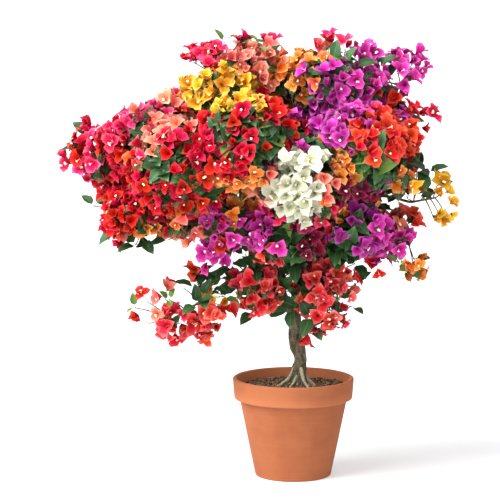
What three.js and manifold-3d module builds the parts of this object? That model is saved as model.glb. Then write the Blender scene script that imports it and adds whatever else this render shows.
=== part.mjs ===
// A bougainvillea grown as a small standard tree in a round clay pot, in millimetres, +Z up.
// The origin is the middle of the pot's flat underside. The plant's front, with most of its bloom, faces -Y.
import * as THREE from "three";
import { mergeVertices } from "three/addons/utils/BufferGeometryUtils.js";
import Module from "manifold-3d";

const wasm = await Module();
wasm.setup();

// The pot: a thrown clay pot 280 mm across its rim, with a deep plain collar.
const POT = {
  height: 227,
  rim: 140, // radii from the rim down: rim, foot of the collar, shoulder under it, base
  collarFoot: 136,
  shoulder: 125,
  base: 87,
  collar: 49, // the collar's height
  wall: 9.5,
  floor: 14,
};
const POT_SIDES = 32;
const EDGE = 4; // how far the pot's rim and foot are rounded off
const SOIL_DROP = 20; // from the pot's rim down to the soil
const SOIL_TOP = POT.height - SOIL_DROP;
const GAP = 0.3; // what touching pieces keep between them
const FINEST = 0.01; // no two corners of a solid are closer than this

// The woody frame. Each limb is a list of [x, y, z, radius] stations along its middle line.
const FORK = [-7, 0, 392, 12.5];
const TRUNK = [
  [13, 0, SOIL_TOP - 6, 24],
  [12, 0, 226, 20],
  [12, 0, 242, 17],
  [16, 0, 262, 14.5],
  [15, 2, 278, 14.5],
  [10, 4, 297, 17],
  [5, 4, 318, 16],
  [5, 2, 343, 15.5],
  [1, 0, 368, 15],
  FORK,
];
const LEADERS = {
  leader_left: [
    FORK,
    [-21, 0, 411, 10],
    [-30, 1, 440, 9],
    [-32, 2, 490, 8.5],
    [-34, 5, 545, 8],
    [-52, 8, 610, 7.5],
    [-78, 10, 676, 7],
  ],
  leader_right: [
    [-2, 0, 378, 9],
    [8, -2, 424, 8],
    [17, -2, 484, 7.5],
    [28, 2, 545, 7],
    [52, 6, 612, 6.5],
    [84, 10, 680, 6],
  ],
};
const ROOTS = { count: 9, height: 40, spread: 50, thick: 4.8, thin: 1.9, sides: 4, steps: 3 };

// The crown's masses of foliage: centre, half sizes, number of shoots, and the leader and height that the bough
// leaves at. A slender mass hangs on a thin bough, and a close one grows straight out of its leader.
const MASSES = {
  top_left: { at: [-165, -40, 893], half: [112, 112, 100], shoots: 8, on: "left", height: 668 },
  top_centre: { at: [-52, 40, 912], half: [108, 110, 98], shoots: 8, on: "left", height: 650 },
  top_right: { at: [98, -50, 902], half: [118, 112, 100], shoots: 8, on: "right", height: 672 },
  top_far_right: { at: [232, 30, 880], half: [86, 100, 88], shoots: 8, on: "right", height: 655 },
  centre: { at: [-38, -70, 752], half: [105, 95, 92], shoots: 7, on: "right", height: 660 },
  top_back: { at: [20, 215, 835], half: [150, 105, 105], shoots: 7, on: "right", height: 640 },
  left_tip: { at: [-435, 0, 735], half: [88, 100, 88], shoots: 8, on: "left", height: 604 },
  left: { at: [-320, -105, 786], half: [108, 105, 100], shoots: 8, on: "left", height: 625 },
  front_left: { at: [-246, -235, 728], half: [112, 100, 100], shoots: 8, on: "left", height: 590 },
  front: { at: [-106, -265, 785], half: [108, 95, 100], shoots: 8, on: "left", height: 640 },
  front_centre: { at: [15, -250, 706], half: [102, 95, 98], shoots: 8, on: "right", height: 628 },
  front_right: { at: [136, -190, 762], half: [106, 105, 100], shoots: 8, on: "right", height: 645 },
  right: { at: [232, -60, 748], half: [84, 105, 92], shoots: 8, on: "right", height: 634 },
  right_tip: { at: [310, 10, 638], half: [62, 84, 76], shoots: 6, on: "right", height: 590 },
  back_right: { at: [190, 200, 725], half: [125, 115, 108], shoots: 7, on: "right", height: 618 },
  back_left: { at: [-170, 225, 755], half: [125, 110, 112], shoots: 7, on: "left", height: 632 },
  back_far_left: { at: [-340, 120, 712], half: [105, 110, 98], shoots: 7, on: "left", height: 612 },
  low_left: { at: [-345, -80, 610], half: [98, 98, 70], shoots: 7, on: "left", height: 570 },
  low_front_left: { at: [-190, -150, 592], half: [90, 96, 72], shoots: 6, on: "left", height: 545 },
  low_front: { at: [-22, -150, 572], half: [88, 88, 70], shoots: 6, on: "right", height: 520 },
  low_right: { at: [123, -115, 585], half: [86, 92, 74], shoots: 6, on: "right", height: 545 },
  low_far_right: { at: [245, 0, 540], half: [74, 90, 82], shoots: 7, on: "right", height: 530 },
  low_back_left: { at: [-225, 130, 590], half: [105, 105, 72], shoots: 6, on: "left", height: 560 },
  low_back_right: { at: [95, 150, 570], half: [112, 105, 74], shoots: 6, on: "right", height: 560 },
  spray_left: { at: [-262, -60, 380], half: [132, 60, 64], shoots: 7, on: "left", height: 515, slender: true },
  stem_left: { at: [-88, -42, 448], half: [54, 56, 62], shoots: 5, on: "left", height: 470, close: true },
  stem_right: { at: [72, -40, 418], half: [60, 60, 82], shoots: 7, on: "right", height: 470, close: true },
};

const BOUGH = { base: 5.5, tip: 3, sides: 4, steps: 4, enters: 0.72, rise: 0.28 };
const SLENDER_BOUGH = { base: 3.4, tip: 2.2, steps: 5, enters: 0.72, rise: 0.1 };
const STEM = { radius: 4.4, past: 0.3, bare: 0.2 };
const SHOOT = { radius: 2, join: 90 };
const LEAVES_AT = [0.42, 0.84]; // shares of a shoot's length
const LEAF = { length: 92, width: 60, thick: 2.4, sink: 0.7, lean: 0.5, tries: 12, join: 0.8 };
const BLOOM = { radius: 60, depth: 20, hollow: 12, sizes: [1, 0.8, 0.6] };
const FULL_HALF = 95; // a mass whose smallest half size is under this has smaller leaves and bloom
const FACING = new THREE.Vector3(0, -0.12, 0.12); // how bloom turns to the light and the front
// Shares of a mass's half sizes: where shoots end at most and at least, and how far any corner may stand out.
const REACH = { tip: 0.94, spread: 0.12, step: 0.06, least: 0.5, most: 1.2 };
const TOUCH = 1e-6; // cubic millimetres in common that count as touching
const BORDER = 1.5; // what each mass keeps clear on its own side of the plane between it and a neighbour
const GOLDEN_SHARE = (Math.sqrt(5) - 1) / 2;
const GOLDEN_ANGLE = 2 * Math.PI * (1 - GOLDEN_SHARE);

const UP = new THREE.Vector3(0, 0, 1);
const vector = ([x, y, z]) => new THREE.Vector3(x, y, z);

// A seeded stream of numbers from 0 to 1.
function randomFrom(seed) {
  let state = seed >>> 0;
  return () => {
    state = (Math.imul(state, 1664525) + 1013904223) >>> 0;
    return state / 4294967296;
  };
}

function solidOf(geometry) {
  const plain = geometry.clone();
  plain.deleteAttribute("normal");
  plain.deleteAttribute("uv");
  const merged = mergeVertices(plain, 1e-4);
  return new wasm.Manifold(
    new wasm.Mesh({
      numProp: 3,
      vertProperties: merged.attributes.position.array,
      triVerts: new Uint32Array(merged.index.array),
    }),
  );
}

function geometryOf(solid) {
  const { vertProperties, triVerts } = solid.getMesh();
  const geometry = new THREE.BufferGeometry();
  geometry.setAttribute("position", new THREE.BufferAttribute(vertProperties, 3));
  geometry.setIndex(new THREE.BufferAttribute(triVerts, 1));
  return geometry;
}

// A tapering limb: a cylinder bent along a curve, its radius read from the stations.
// Its end is flat, or sunk in the middle by a hollow.
function limb(stations, sides, steps, grow = 0, hollow = 0) {
  const curve = new THREE.CatmullRomCurve3(stations.map(vector), false, "centripetal");
  const radii = stations.map((station) => station[3]);
  const frames = [];
  let side = new THREE.Vector3(1, 0, 0);
  for (let i = 0; i <= steps; i++) {
    const t = i / steps;
    const along = curve.getTangent(t).normalize();
    side = side.clone().addScaledVector(along, -side.dot(along)).normalize();
    const place = t * (radii.length - 1);
    const low = Math.min(Math.floor(place), radii.length - 2);
    const radius = THREE.MathUtils.lerp(radii[low], radii[low + 1], place - low);
    const middle = curve.getPoint(t);
    if (i === 0) middle.addScaledVector(along, -grow);
    if (i === steps) middle.addScaledVector(along, grow);
    frames.push({ middle, side, other: along.clone().cross(side), along, radius: radius + grow });
  }
  const geometry = new THREE.CylinderGeometry(1, 1, 1, sides, steps);
  const position = geometry.attributes.position;
  for (let i = 0; i < position.count; i++) {
    const frame = frames[Math.round((position.getY(i) + 0.5) * steps)];
    const place = frame.middle
      .clone()
      .addScaledVector(frame.side, position.getZ(i) * frame.radius)
      .addScaledVector(frame.other, position.getX(i) * frame.radius);
    const axial = Math.hypot(position.getX(i), position.getZ(i)) < 0.5;
    if (axial && frame === frames[steps]) place.addScaledVector(frame.along, -hollow);
    position.setXYZ(i, place.x, place.y, place.z);
  }
  return solidOf(geometry);
}

function lathe(profile, sides) {
  const turned = new THREE.LatheGeometry(profile.map(([r, z]) => new THREE.Vector2(r, z)), sides);
  return solidOf(turned.rotateX(Math.PI / 2));
}

// Whether a solid has corners too close together to tell apart.
function crowded(solid) {
  const geometry = geometryOf(solid);
  return mergeVertices(geometry, FINEST).attributes.position.count < geometry.attributes.position.count;
}

function largestOf(solid) {
  return solid.decompose().sort((a, b) => b.volume() - a.volume())[0];
}

// The clay pot: outside from the foot up over the collar, then down the inside to its floor.
function pot() {
  const collarFoot = POT.height - POT.collar;
  const inside = POT.shoulder - POT.wall;
  return lathe(
    [
      [0, 0],
      [POT.base - EDGE, 0],
      [POT.base, EDGE],
      [POT.shoulder, collarFoot],
      [POT.collarFoot - EDGE, collarFoot],
      [POT.collarFoot, collarFoot + EDGE],
      [POT.rim, POT.height - EDGE],
      [POT.rim - EDGE, POT.height],
      [POT.rim - POT.wall, POT.height - EDGE],
      [POT.rim - POT.wall - 2, SOIL_TOP - EDGE],
      [inside, collarFoot - EDGE],
      [POT.base - POT.wall, POT.floor],
      [0, POT.floor],
    ],
    POT_SIDES,
  );
}

// The filling of soil and roots, a gap clear of the pot all round.
function soil() {
  const collarFoot = POT.height - POT.collar;
  const inside = POT.shoulder - POT.wall - 2 * GAP;
  return lathe(
    [
      [0, POT.floor + GAP],
      [POT.base - POT.wall - 2 * GAP, POT.floor + GAP],
      [inside, collarFoot - EDGE],
      [POT.rim - POT.wall - 2 - 2 * GAP, SOIL_TOP - EDGE],
      [POT.rim - POT.wall - 2 - 2 * GAP, SOIL_TOP],
      [0, SOIL_TOP],
    ],
    POT_SIDES,
  );
}

// The roots that stand out of the trunk's foot and run down into the soil.
function roots(grow) {
  const random = randomFrom(11);
  const made = [];
  for (let i = 0; i < ROOTS.count; i++) {
    const angle = ((i + 0.6 * random()) / ROOTS.count) * 2 * Math.PI;
    const reach = ROOTS.spread * (0.8 + 0.4 * random());
    const top = ROOTS.height * (0.7 + 0.5 * random());
    const bend = 0.5 * (random() - 0.5);
    const station = (share, height, radius, turn) => {
      const at = angle + bend * turn;
      return [13 + Math.cos(at) * reach * share, Math.sin(at) * reach * share, SOIL_TOP + height, radius];
    };
    made.push(
      limb(
        [
          station(0.2, top, ROOTS.thick, 0),
          station(0.42, top * 0.5, ROOTS.thick * 0.8, 0.3),
          station(0.7, top * 0.17, ROOTS.thick * 0.6, 0.8),
          station(1, -4, ROOTS.thin, 1.6),
        ],
        ROOTS.sides,
        ROOTS.steps,
        grow,
      ),
    );
  }
  return made;
}

// What is below the soil's surface is cut off flat.
function aboveSoil(solid) {
  const block = new THREE.BoxGeometry(400, 400, 200).translate(0, 0, SOIL_TOP + GAP - 100);
  return solid.subtract(solidOf(block));
}

function trunk(grow = 0) {
  const stem = limb(TRUNK, 8, 12, grow);
  return roots(grow).reduce((whole, root) => whole.add(root), stem);
}

// The point on a leader at a height.
function pointOn(stations, height) {
  const curve = new THREE.CatmullRomCurve3(stations.map(vector), false, "centripetal");
  let [low, high] = [0, 1];
  while (high - low > 1e-5) {
    const middle = (low + high) / 2;
    if (curve.getPoint(middle).z < height) low = middle;
    else high = middle;
  }
  return curve.getPoint(low);
}

// The middle line of a mass's bough: out of its leader, up, and over to where it enters the mass.
function boughStations(name) {
  const mass = MASSES[name];
  const inside = ownSpace(name);
  const shape = mass.slender ? SLENDER_BOUGH : BOUGH;
  const start = pointOn(LEADERS[`leader_${mass.on}`], mass.height);
  const centre = vector(mass.at);
  const back = start.clone().sub(centre);
  const size = Math.hypot(back.x / mass.half[0], back.y / mass.half[1], back.z / mass.half[2]);
  const end = centre.clone().addScaledVector(back, shape.enters / size);
  while (!inside(end, shape.enters)) end.lerp(centre, 0.03);
  const control = start.clone().lerp(end, 0.5).addScaledVector(UP, start.distanceTo(end) * shape.rise);
  const line = new THREE.QuadraticBezierCurve3(start, control, end);
  const stations = [];
  for (let i = 0; i <= shape.steps; i++) {
    const t = i / shape.steps;
    const place = line.getPoint(t);
    stations.push([place.x, place.y, place.z, THREE.MathUtils.lerp(shape.base, shape.tip, t)]);
  }
  return stations;
}

function bough(stations, grow = 0) {
  return limb(stations, BOUGH.sides, stations.length - 1, grow);
}

// A mass keeps to its own ellipsoid, on its own side of a plane towards each neighbour.
const meanHalf = (mass) => (mass.half[0] + mass.half[1] + mass.half[2]) / 3;
function ownSpace(name) {
  const mass = MASSES[name];
  const centre = vector(mass.at);
  const planes = Object.entries(MASSES)
    .filter(([other]) => other !== name)
    .map(([, other]) => {
      const way = vector(other.at).sub(centre);
      const share = meanHalf(mass) / (meanHalf(mass) + meanHalf(other));
      return { way: way.clone().normalize(), limit: way.length() * share - BORDER };
    });
  return (point, ease = 1) => {
    const from = point.clone().sub(centre);
    const size = Math.hypot(from.x / mass.half[0], from.y / mass.half[1], from.z / mass.half[2]);
    return size <= ease && planes.every(({ way, limit }) => from.dot(way) < limit);
  };
}

function corners(solid) {
  const { vertProperties } = solid.getMesh();
  const points = [];
  for (let i = 0; i < vertProperties.length; i += 3) {
    points.push(new THREE.Vector3().fromArray(vertProperties, i));
  }
  return points;
}

// Puts a piece made along +Z at a place, with its +Z along a direction and turned about it.
function placed(geometry, at, direction, turn) {
  const facing = new THREE.Quaternion().setFromUnitVectors(UP, direction);
  geometry.rotateZ(turn);
  geometry.applyQuaternion(facing);
  geometry.translate(at.x, at.y, at.z);
  return solidOf(geometry);
}

// A leaf: a three-sided blade, flat above and keeled below, widest nearer its foot.
function leaf(at, direction, turn, scale) {
  const profile = [[0, 0], [1, 0.38], [0, 1]].map(([r, z]) => new THREE.Vector2(r, z));
  const blade = new THREE.LatheGeometry(profile, 3).rotateX(Math.PI / 2);
  blade.scale((LEAF.width * scale) / Math.sqrt(3), LEAF.thick / 1.5, LEAF.length * scale);
  return placed(blade.translate(0, 0, -LEAF.sink), at, direction, turn);
}

// A shoot that ends in bloom: it opens into a three-cornered cup, one corner for each papery bract.
function shoot(start, tip, facing, scale) {
  const rim = tip.clone().addScaledVector(facing, BLOOM.depth * scale);
  const radii = [SHOOT.radius, SHOOT.radius, BLOOM.radius * scale];
  const stations = [start, tip, rim].map((place, i) => [...place.toArray(), radii[i]]);
  return limb(stations, 3, 2, 0, BLOOM.hollow * scale);
}

// The direction of one of a mass's shoots, spread evenly round it.
function outward(k, count, index) {
  const rise = 1 - (2 * (k + 0.5)) / count;
  const around = k * GOLDEN_ANGLE + index;
  const flat = Math.sqrt(1 - rise * rise);
  return new THREE.Vector3(flat * Math.cos(around), flat * Math.sin(around), rise);
}

// A mass of foliage: a stem from the bough's tip, shoots that end in bloom spread round it, and their leaves.
// Each piece is tried in a few places, and left out where none is clear of the limbs and of other foliage.
function foliage(name, index, entry, limbs) {
  const mass = MASSES[name];
  const inside = ownSpace(name);
  const random = randomFrom(1000 + 77 * index);
  const centre = vector(mass.at);
  const half = vector(mass.half);
  const scale = Math.min(1, ...mass.half.map((size) => size / FULL_HALF));
  const heart = centre.clone().lerp(entry, -STEM.past);
  let whole = limb([entry, heart].map((place) => [...place.toArray(), STEM.radius]), 3, 1);
  const added = (piece, join) => {
    if (!corners(piece).every((point) => inside(point, REACH.most))) return false;
    if (piece.intersect(limbs).volume() > TOUCH || piece.intersect(whole).volume() > join) return false;
    const joined = whole.add(piece);
    if (crowded(joined)) return false;
    whole = joined;
    return true;
  };

  const shoots = [];
  for (let k = 0; k < mass.shoots; k++) {
    const out = outward(k, mass.shoots, index);
    const start = entry.clone().lerp(heart, STEM.bare + (1 - STEM.bare) * ((k * GOLDEN_SHARE) % 1));
    const facing = out.clone().add(FACING).normalize();
    const along = REACH.tip - REACH.spread * random();
    const grown = (size) => {
      for (let reach = along; reach > REACH.least; reach -= REACH.step) {
        const tip = out.clone().multiply(half).multiplyScalar(reach).add(centre);
        if (added(shoot(start, tip, facing, size * scale), SHOOT.join)) return shoots.push([start, tip]);
      }
      return false;
    };
    BLOOM.sizes.some(grown);
  }
  for (const [start, tip] of shoots) {
    const turn = random();
    const way = tip.clone().sub(start).normalize();
    const across = way.clone().cross(UP).normalize();
    for (const share of LEAVES_AT) {
      for (let tries = 0; tries < LEAF.tries; tries++) {
        const round = 2 * Math.PI * (turn + share * 2 + tries / LEAF.tries);
        const heading = across.clone().applyAxisAngle(way, round).addScaledVector(way, LEAF.lean);
        const blade = leaf(start.clone().lerp(tip, share), heading.normalize(), tries, scale);
        if (added(blade, LEAF.join)) break;
      }
    }
  }
  return largestOf(whole.subtract(limbs));
}

const COLOURS = {
  clay: { color: 0xc4703f, roughness: 0.85 },
  earth: { color: 0x3a2a20, roughness: 1 },
  bark: { color: 0x7b7458, roughness: 0.9 },
  red: { color: 0xdf1f22, roughness: 0.6 },
  magenta: { color: 0xb8258f, roughness: 0.6 },
  orange: { color: 0xf2691e, roughness: 0.6 },
  yellow: { color: 0xf3b52a, roughness: 0.6 },
  white: { color: 0xe8ecd8, roughness: 0.6 },
  coral: { color: 0xf0604a, roughness: 0.6 },
  pink: { color: 0xd81b50, roughness: 0.6 },
};
const BLOOM_COLOURS = {
  red: ["centre", "top_back", "front_left", "front", "low_left", "stem_left", "stem_right"],
  pink: ["left_tip", "back_far_left"],
  coral: ["top_centre", "left", "low_front_left", "low_back_left", "spray_left"],
  orange: ["right", "back_right"],
  yellow: ["top_left", "right_tip"],
  white: ["front_centre"],
  magenta: [
    "top_right",
    "top_far_right",
    "front_right",
    "back_left",
    "low_front",
    "low_right",
    "low_far_right",
    "low_back_right",
  ],
};

const plant = new THREE.Group();

function show(name, solid, colour) {
  const material = new THREE.MeshStandardMaterial({ metalness: 0, ...COLOURS[colour] });
  const mesh = new THREE.Mesh(geometryOf(solid), material);
  mesh.name = name;
  plant.add(mesh);
}

show("pot", pot(), "clay");
show("soil", soil(), "earth");

// Limbs are made in order, each cut a gap clear of those before it.
let limbs = aboveSoil(trunk(GAP));
show("trunk", aboveSoil(trunk()), "bark");
for (const [name, stations] of Object.entries(LEADERS)) {
  show(name, largestOf(limb(stations, 6, 9).subtract(limbs)), "bark");
  limbs = limbs.add(limb(stations, 6, 9, GAP));
}
const entries = {};
for (const [name, mass] of Object.entries(MASSES)) {
  if (mass.close) {
    const start = pointOn(LEADERS[`leader_${mass.on}`], mass.height);
    entries[name] = start;
    continue;
  }
  const stations = boughStations(name);
  show("bough_" + name, largestOf(bough(stations).subtract(limbs)), "bark");
  limbs = limbs.add(bough(stations, GAP));
  entries[name] = vector(stations.at(-1));
}
Object.keys(MASSES).forEach((name, index) => {
  const colour = Object.keys(BLOOM_COLOURS).find((bloom) => BLOOM_COLOURS[bloom].includes(name));
  show("foliage_" + name, foliage(name, index, entries[name], limbs), colour);
});

export default plant;
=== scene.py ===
import itertools
import math
from collections import namedtuple

import bpy
import numpy as np
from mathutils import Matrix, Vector, noise


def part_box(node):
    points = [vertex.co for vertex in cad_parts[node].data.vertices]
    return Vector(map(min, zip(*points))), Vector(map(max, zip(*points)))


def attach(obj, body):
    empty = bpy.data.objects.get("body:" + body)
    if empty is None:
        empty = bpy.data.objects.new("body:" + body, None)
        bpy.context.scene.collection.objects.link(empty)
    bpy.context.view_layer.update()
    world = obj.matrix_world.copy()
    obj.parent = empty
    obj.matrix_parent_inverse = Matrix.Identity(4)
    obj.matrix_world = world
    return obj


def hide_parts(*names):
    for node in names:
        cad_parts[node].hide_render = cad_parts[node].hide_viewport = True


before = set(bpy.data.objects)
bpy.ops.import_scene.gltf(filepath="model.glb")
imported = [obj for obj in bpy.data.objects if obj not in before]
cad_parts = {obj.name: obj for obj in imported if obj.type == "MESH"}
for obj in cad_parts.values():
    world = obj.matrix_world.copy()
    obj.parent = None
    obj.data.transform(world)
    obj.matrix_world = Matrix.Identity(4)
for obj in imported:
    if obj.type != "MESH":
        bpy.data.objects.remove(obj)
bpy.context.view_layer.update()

# Lengths are millimetres until a mesh is made. The plant's front faces -Y, and +Z is up.
MM = 0.001
GOLDEN_SHARE = (math.sqrt(5) - 1) / 2
GOLDEN_ANGLE = 2 * math.pi * (1 - GOLDEN_SHARE)
ANY_TURN = 6.3  # about a full turn, in radians
UP = np.array((0.0, 0.0, 1.0))

# The camera, where the photograph's was, in millimetres and degrees.
EYE = np.array((-99.7, -5000.0, 1144.4))
PITCH = 7.1
LENS, SENSOR = 158.8, 36

# The pot, from its solid: the same heights and radii, with soft corners.
POT = {"collar_foot": 136, "collar": 49, "shoulder": 125, "base": 87, "wall": 9.5, "floor": 14}
POT_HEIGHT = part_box("pot")[1].z / MM
POT_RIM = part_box("pot")[1].x / MM
INSIDE_RIM = POT_RIM - POT["wall"]
COLLAR_FOOT = POT_HEIGHT - POT["collar"]
SOIL_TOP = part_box("soil")[1].z / MM
SOIL = {"rings": 46, "sides": 150, "lumps": 4.2, "lump_scale": 0.055, "rise": 7, "rise_reach": 38,
        "sinks": 2, "edge_sinks": 2.5, "edge": 128, "clear": 24}
CRUMBS = {"count": 1500, "largest": 5.5}
GRAINS = {"count": 110, "largest": 3.2}
LUMPS = {"kinds": 5, "smallest": 1.2, "rough": 0.5, "within": 123}
FIBRES = {"count": 110, "within": 118, "length": 5, "spread": 12, "radii": (0.5, 0.7, 0.3), "lift": 1.5}

# The woody frame: each limb is a list of (x, y, z, radius) stations along its middle line.
TRUNK_X = 13
FORK = (-7, 0, 392, 12.5)
TRUNK = [
    (TRUNK_X, 0, SOIL_TOP - 6, 24), (12, 0, 226, 20), (12, 0, 242, 17), (16, 0, 262, 14.5),
    (15, 2, 278, 14.5), (10, 4, 297, 17), (5, 4, 318, 16), (5, 2, 343, 15.5), (1, 0, 368, 15), FORK,
]
LEADERS = {
    "left": [
        FORK, (-21, 0, 411, 10), (-30, 1, 440, 9), (-32, 2, 490, 8.5), (-34, 5, 545, 8), (-52, 8, 610, 7.5),
        (-78, 10, 676, 7),
    ],
    "right": [
        (-2, 0, 378, 9), (8, -2, 424, 8), (17, -2, 484, 7.5), (28, 2, 545, 7), (52, 6, 612, 6.5),
        (84, 10, 680, 6),
    ],
}
ROOTS = {"count": 9, "height": 40, "spread": 50, "thick": 4.8, "thin": 1.9}
FINE_ROOTS = {"count": 10, "height": 20, "spread": 46, "thick": 2.6, "thin": 1.0}

# The crown's masses of foliage: centre, half sizes, number of shoots in the solid, and the leader and height
# that the bough leaves at.
Mass = namedtuple("Mass", "at half shoots leader height")
MASSES = {
    "top_left": Mass((-165, -40, 893), (112, 112, 100), 8, "left", 668),
    "top_centre": Mass((-52, 40, 912), (108, 110, 98), 8, "left", 650),
    "top_right": Mass((98, -50, 902), (118, 112, 100), 8, "right", 672),
    "top_far_right": Mass((232, 30, 880), (86, 100, 88), 8, "right", 655),
    "centre": Mass((-38, -70, 752), (105, 95, 92), 7, "right", 660),
    "top_back": Mass((20, 215, 835), (150, 105, 105), 7, "right", 640),
    "left_tip": Mass((-435, 0, 735), (88, 100, 88), 8, "left", 604),
    "left": Mass((-320, -105, 786), (108, 105, 100), 8, "left", 625),
    "front_left": Mass((-246, -235, 728), (112, 100, 100), 8, "left", 590),
    "front": Mass((-106, -265, 785), (108, 95, 100), 8, "left", 640),
    "front_centre": Mass((15, -250, 706), (102, 95, 98), 8, "right", 628),
    "front_right": Mass((136, -190, 762), (106, 105, 100), 8, "right", 645),
    "right": Mass((232, -60, 748), (84, 105, 92), 8, "right", 634),
    "right_tip": Mass((310, 10, 638), (62, 84, 76), 6, "right", 590),
    "back_right": Mass((190, 200, 725), (125, 115, 108), 7, "right", 618),
    "back_left": Mass((-170, 225, 755), (125, 110, 112), 7, "left", 632),
    "back_far_left": Mass((-340, 120, 712), (105, 110, 98), 7, "left", 612),
    "low_left": Mass((-345, -80, 610), (98, 98, 70), 7, "left", 570),
    "low_front_left": Mass((-190, -150, 592), (90, 96, 72), 6, "left", 545),
    "low_front": Mass((-22, -150, 572), (88, 88, 70), 6, "right", 520),
    "low_right": Mass((123, -115, 585), (86, 92, 74), 6, "right", 545),
    "low_far_right": Mass((245, 0, 540), (74, 90, 82), 7, "right", 530),
    "low_back_left": Mass((-225, 130, 590), (105, 105, 72), 6, "left", 560),
    "low_back_right": Mass((95, 150, 570), (112, 105, 74), 6, "right", 560),
    "spray_left": Mass((-262, -60, 380), (132, 60, 64), 7, "left", 515),
    "stem_left": Mass((-88, -42, 448), (54, 56, 62), 5, "left", 470),
    "stem_right": Mass((72, -40, 418), (60, 60, 82), 7, "right", 470),
}
CENTRES = np.array([mass.at for mass in MASSES.values()], float)
HALVES = np.array([mass.half for mass in MASSES.values()], float)
SLENDER = ("spray_left",)  # these hang on a thin bough
CLOSE = ("stem_left", "stem_right")  # these grow straight out of their leader
AIRY = {"low_right": 0.52, "low_far_right": 0.28, "low_front": 0.75, "right_tip": 0.15,
        "spray_left": 0, "stem_left": 0.2, "stem_right": 0.15}  # share of the usual shoots

BOUGH = {"base": 5.5, "tip": 3, "steps": 4, "enters": 0.72, "rise": 0.28}
SLENDER_BOUGH = {"base": 3.4, "tip": 2.2, "steps": 5, "enters": 0.72, "rise": 0.1}
STEP_IN = 0.03  # the share of the way to its mass that a bough's end moves at a time until it is inside
STEM = {"radius": 3, "past": 0.3, "bare": 0.2}
FACING = np.array((0, -0.12, 0.12))
CROWN = {"heart": np.array((-60, 20, 660)), "half": np.array((420, 330, 330))}
REACH = {"tip": 0.95, "spread": 0.2, "step": 0.06, "least": 0.5}
BORDER = 1.5

# How the source's growth is carried on to finer twigs, leaves and bloom.
FINER = 10  # shoots for each one of the solid's
HIDDEN_SHARE = 0.3  # share of the shoots that grow where other masses hide them
SHOOT = {"thick": 2.0, "thin": 1.3, "arch": 0.09, "least": 12, "leaf_room": 40, "onward": 0.6}
SIDE_TWIGS_AT = (0.6, 0.82)
SIDE_TWIG = {"length": 44, "radii": (1.3, 1.1, 1.0), "turn": 1.7,
             "onward": 0.7, "outward": 0.3, "lift": 2.5}
SPRAY = {"flowers": 9, "side_flowers": 7, "leaves": 5, "stalk": 9, "stalk_spread": 22,
         "room": 19, "reach": 25, "sinks_in": 1.5, "bows": 2}
STALK_LEANS = (16, 72)  # degrees off the spray's aim
FIRST_LEAN = 18  # the most for the first stalk of a spray
STALK_RADII = (1.0, 0.8, 0.9)
FLOWER_SIZES = (0.78, 1.24)
# How much each way counts in where a flower faces.
FLOWER_AIM = {"stalk": 0.5, "spray": 0.25, "crown": 0.45, "front": 1.6, "chance": 1.4}
FULL = 0.96  # share of a mass's half sizes that bloom keeps to
FLOWER_ROOM = 15  # flowers of full size keep this far apart
ROOM_CELL = 25  # at least the widest room that any flower keeps
LEAVES_AT = (0.5, 0.75)
LEAF = {"length": 38, "spread": 22, "stalk": 7, "lift": 0.6}
FAN = {"onward": (0.2, 0.9), "level": 0.6}  # how far the leaves of a spray lean along its aim, and lie level
# Shares of a mass's half sizes: no flowers grow under the first, and all of them over the second.
DEEP, SHELL = 0.62, 0.76

# The places below are as seen from the camera, on the plane Y = 0.
# The crown's outline: x and z, clockwise from the left. Only sprigs stand out of it.
OUTLINE = [
    (-456, 771), (-432, 785), (-392, 813), (-345, 837), (-290, 859), (-248, 877), (-213, 901),
    (-183, 923), (-150, 960), (-105, 975), (-50, 975), (-15, 950), (20, 965), (60, 955),
    (100, 940), (155, 935), (195, 910), (230, 870), (246, 835), (256, 795), (256, 755),
    (255, 725), (270, 680), (265, 580), (250, 535), (210, 510), (105, 505), (-70, 505),
    (-125, 532), (-180, 554), (-295, 567), (-415, 558), (-418, 650), (-462, 715),
]
OUTLINE_X, OUTLINE_Z = np.array(OUTLINE, float).T
OWN_OUTLINE = SLENDER + CLOSE  # these hang under the crown

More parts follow.
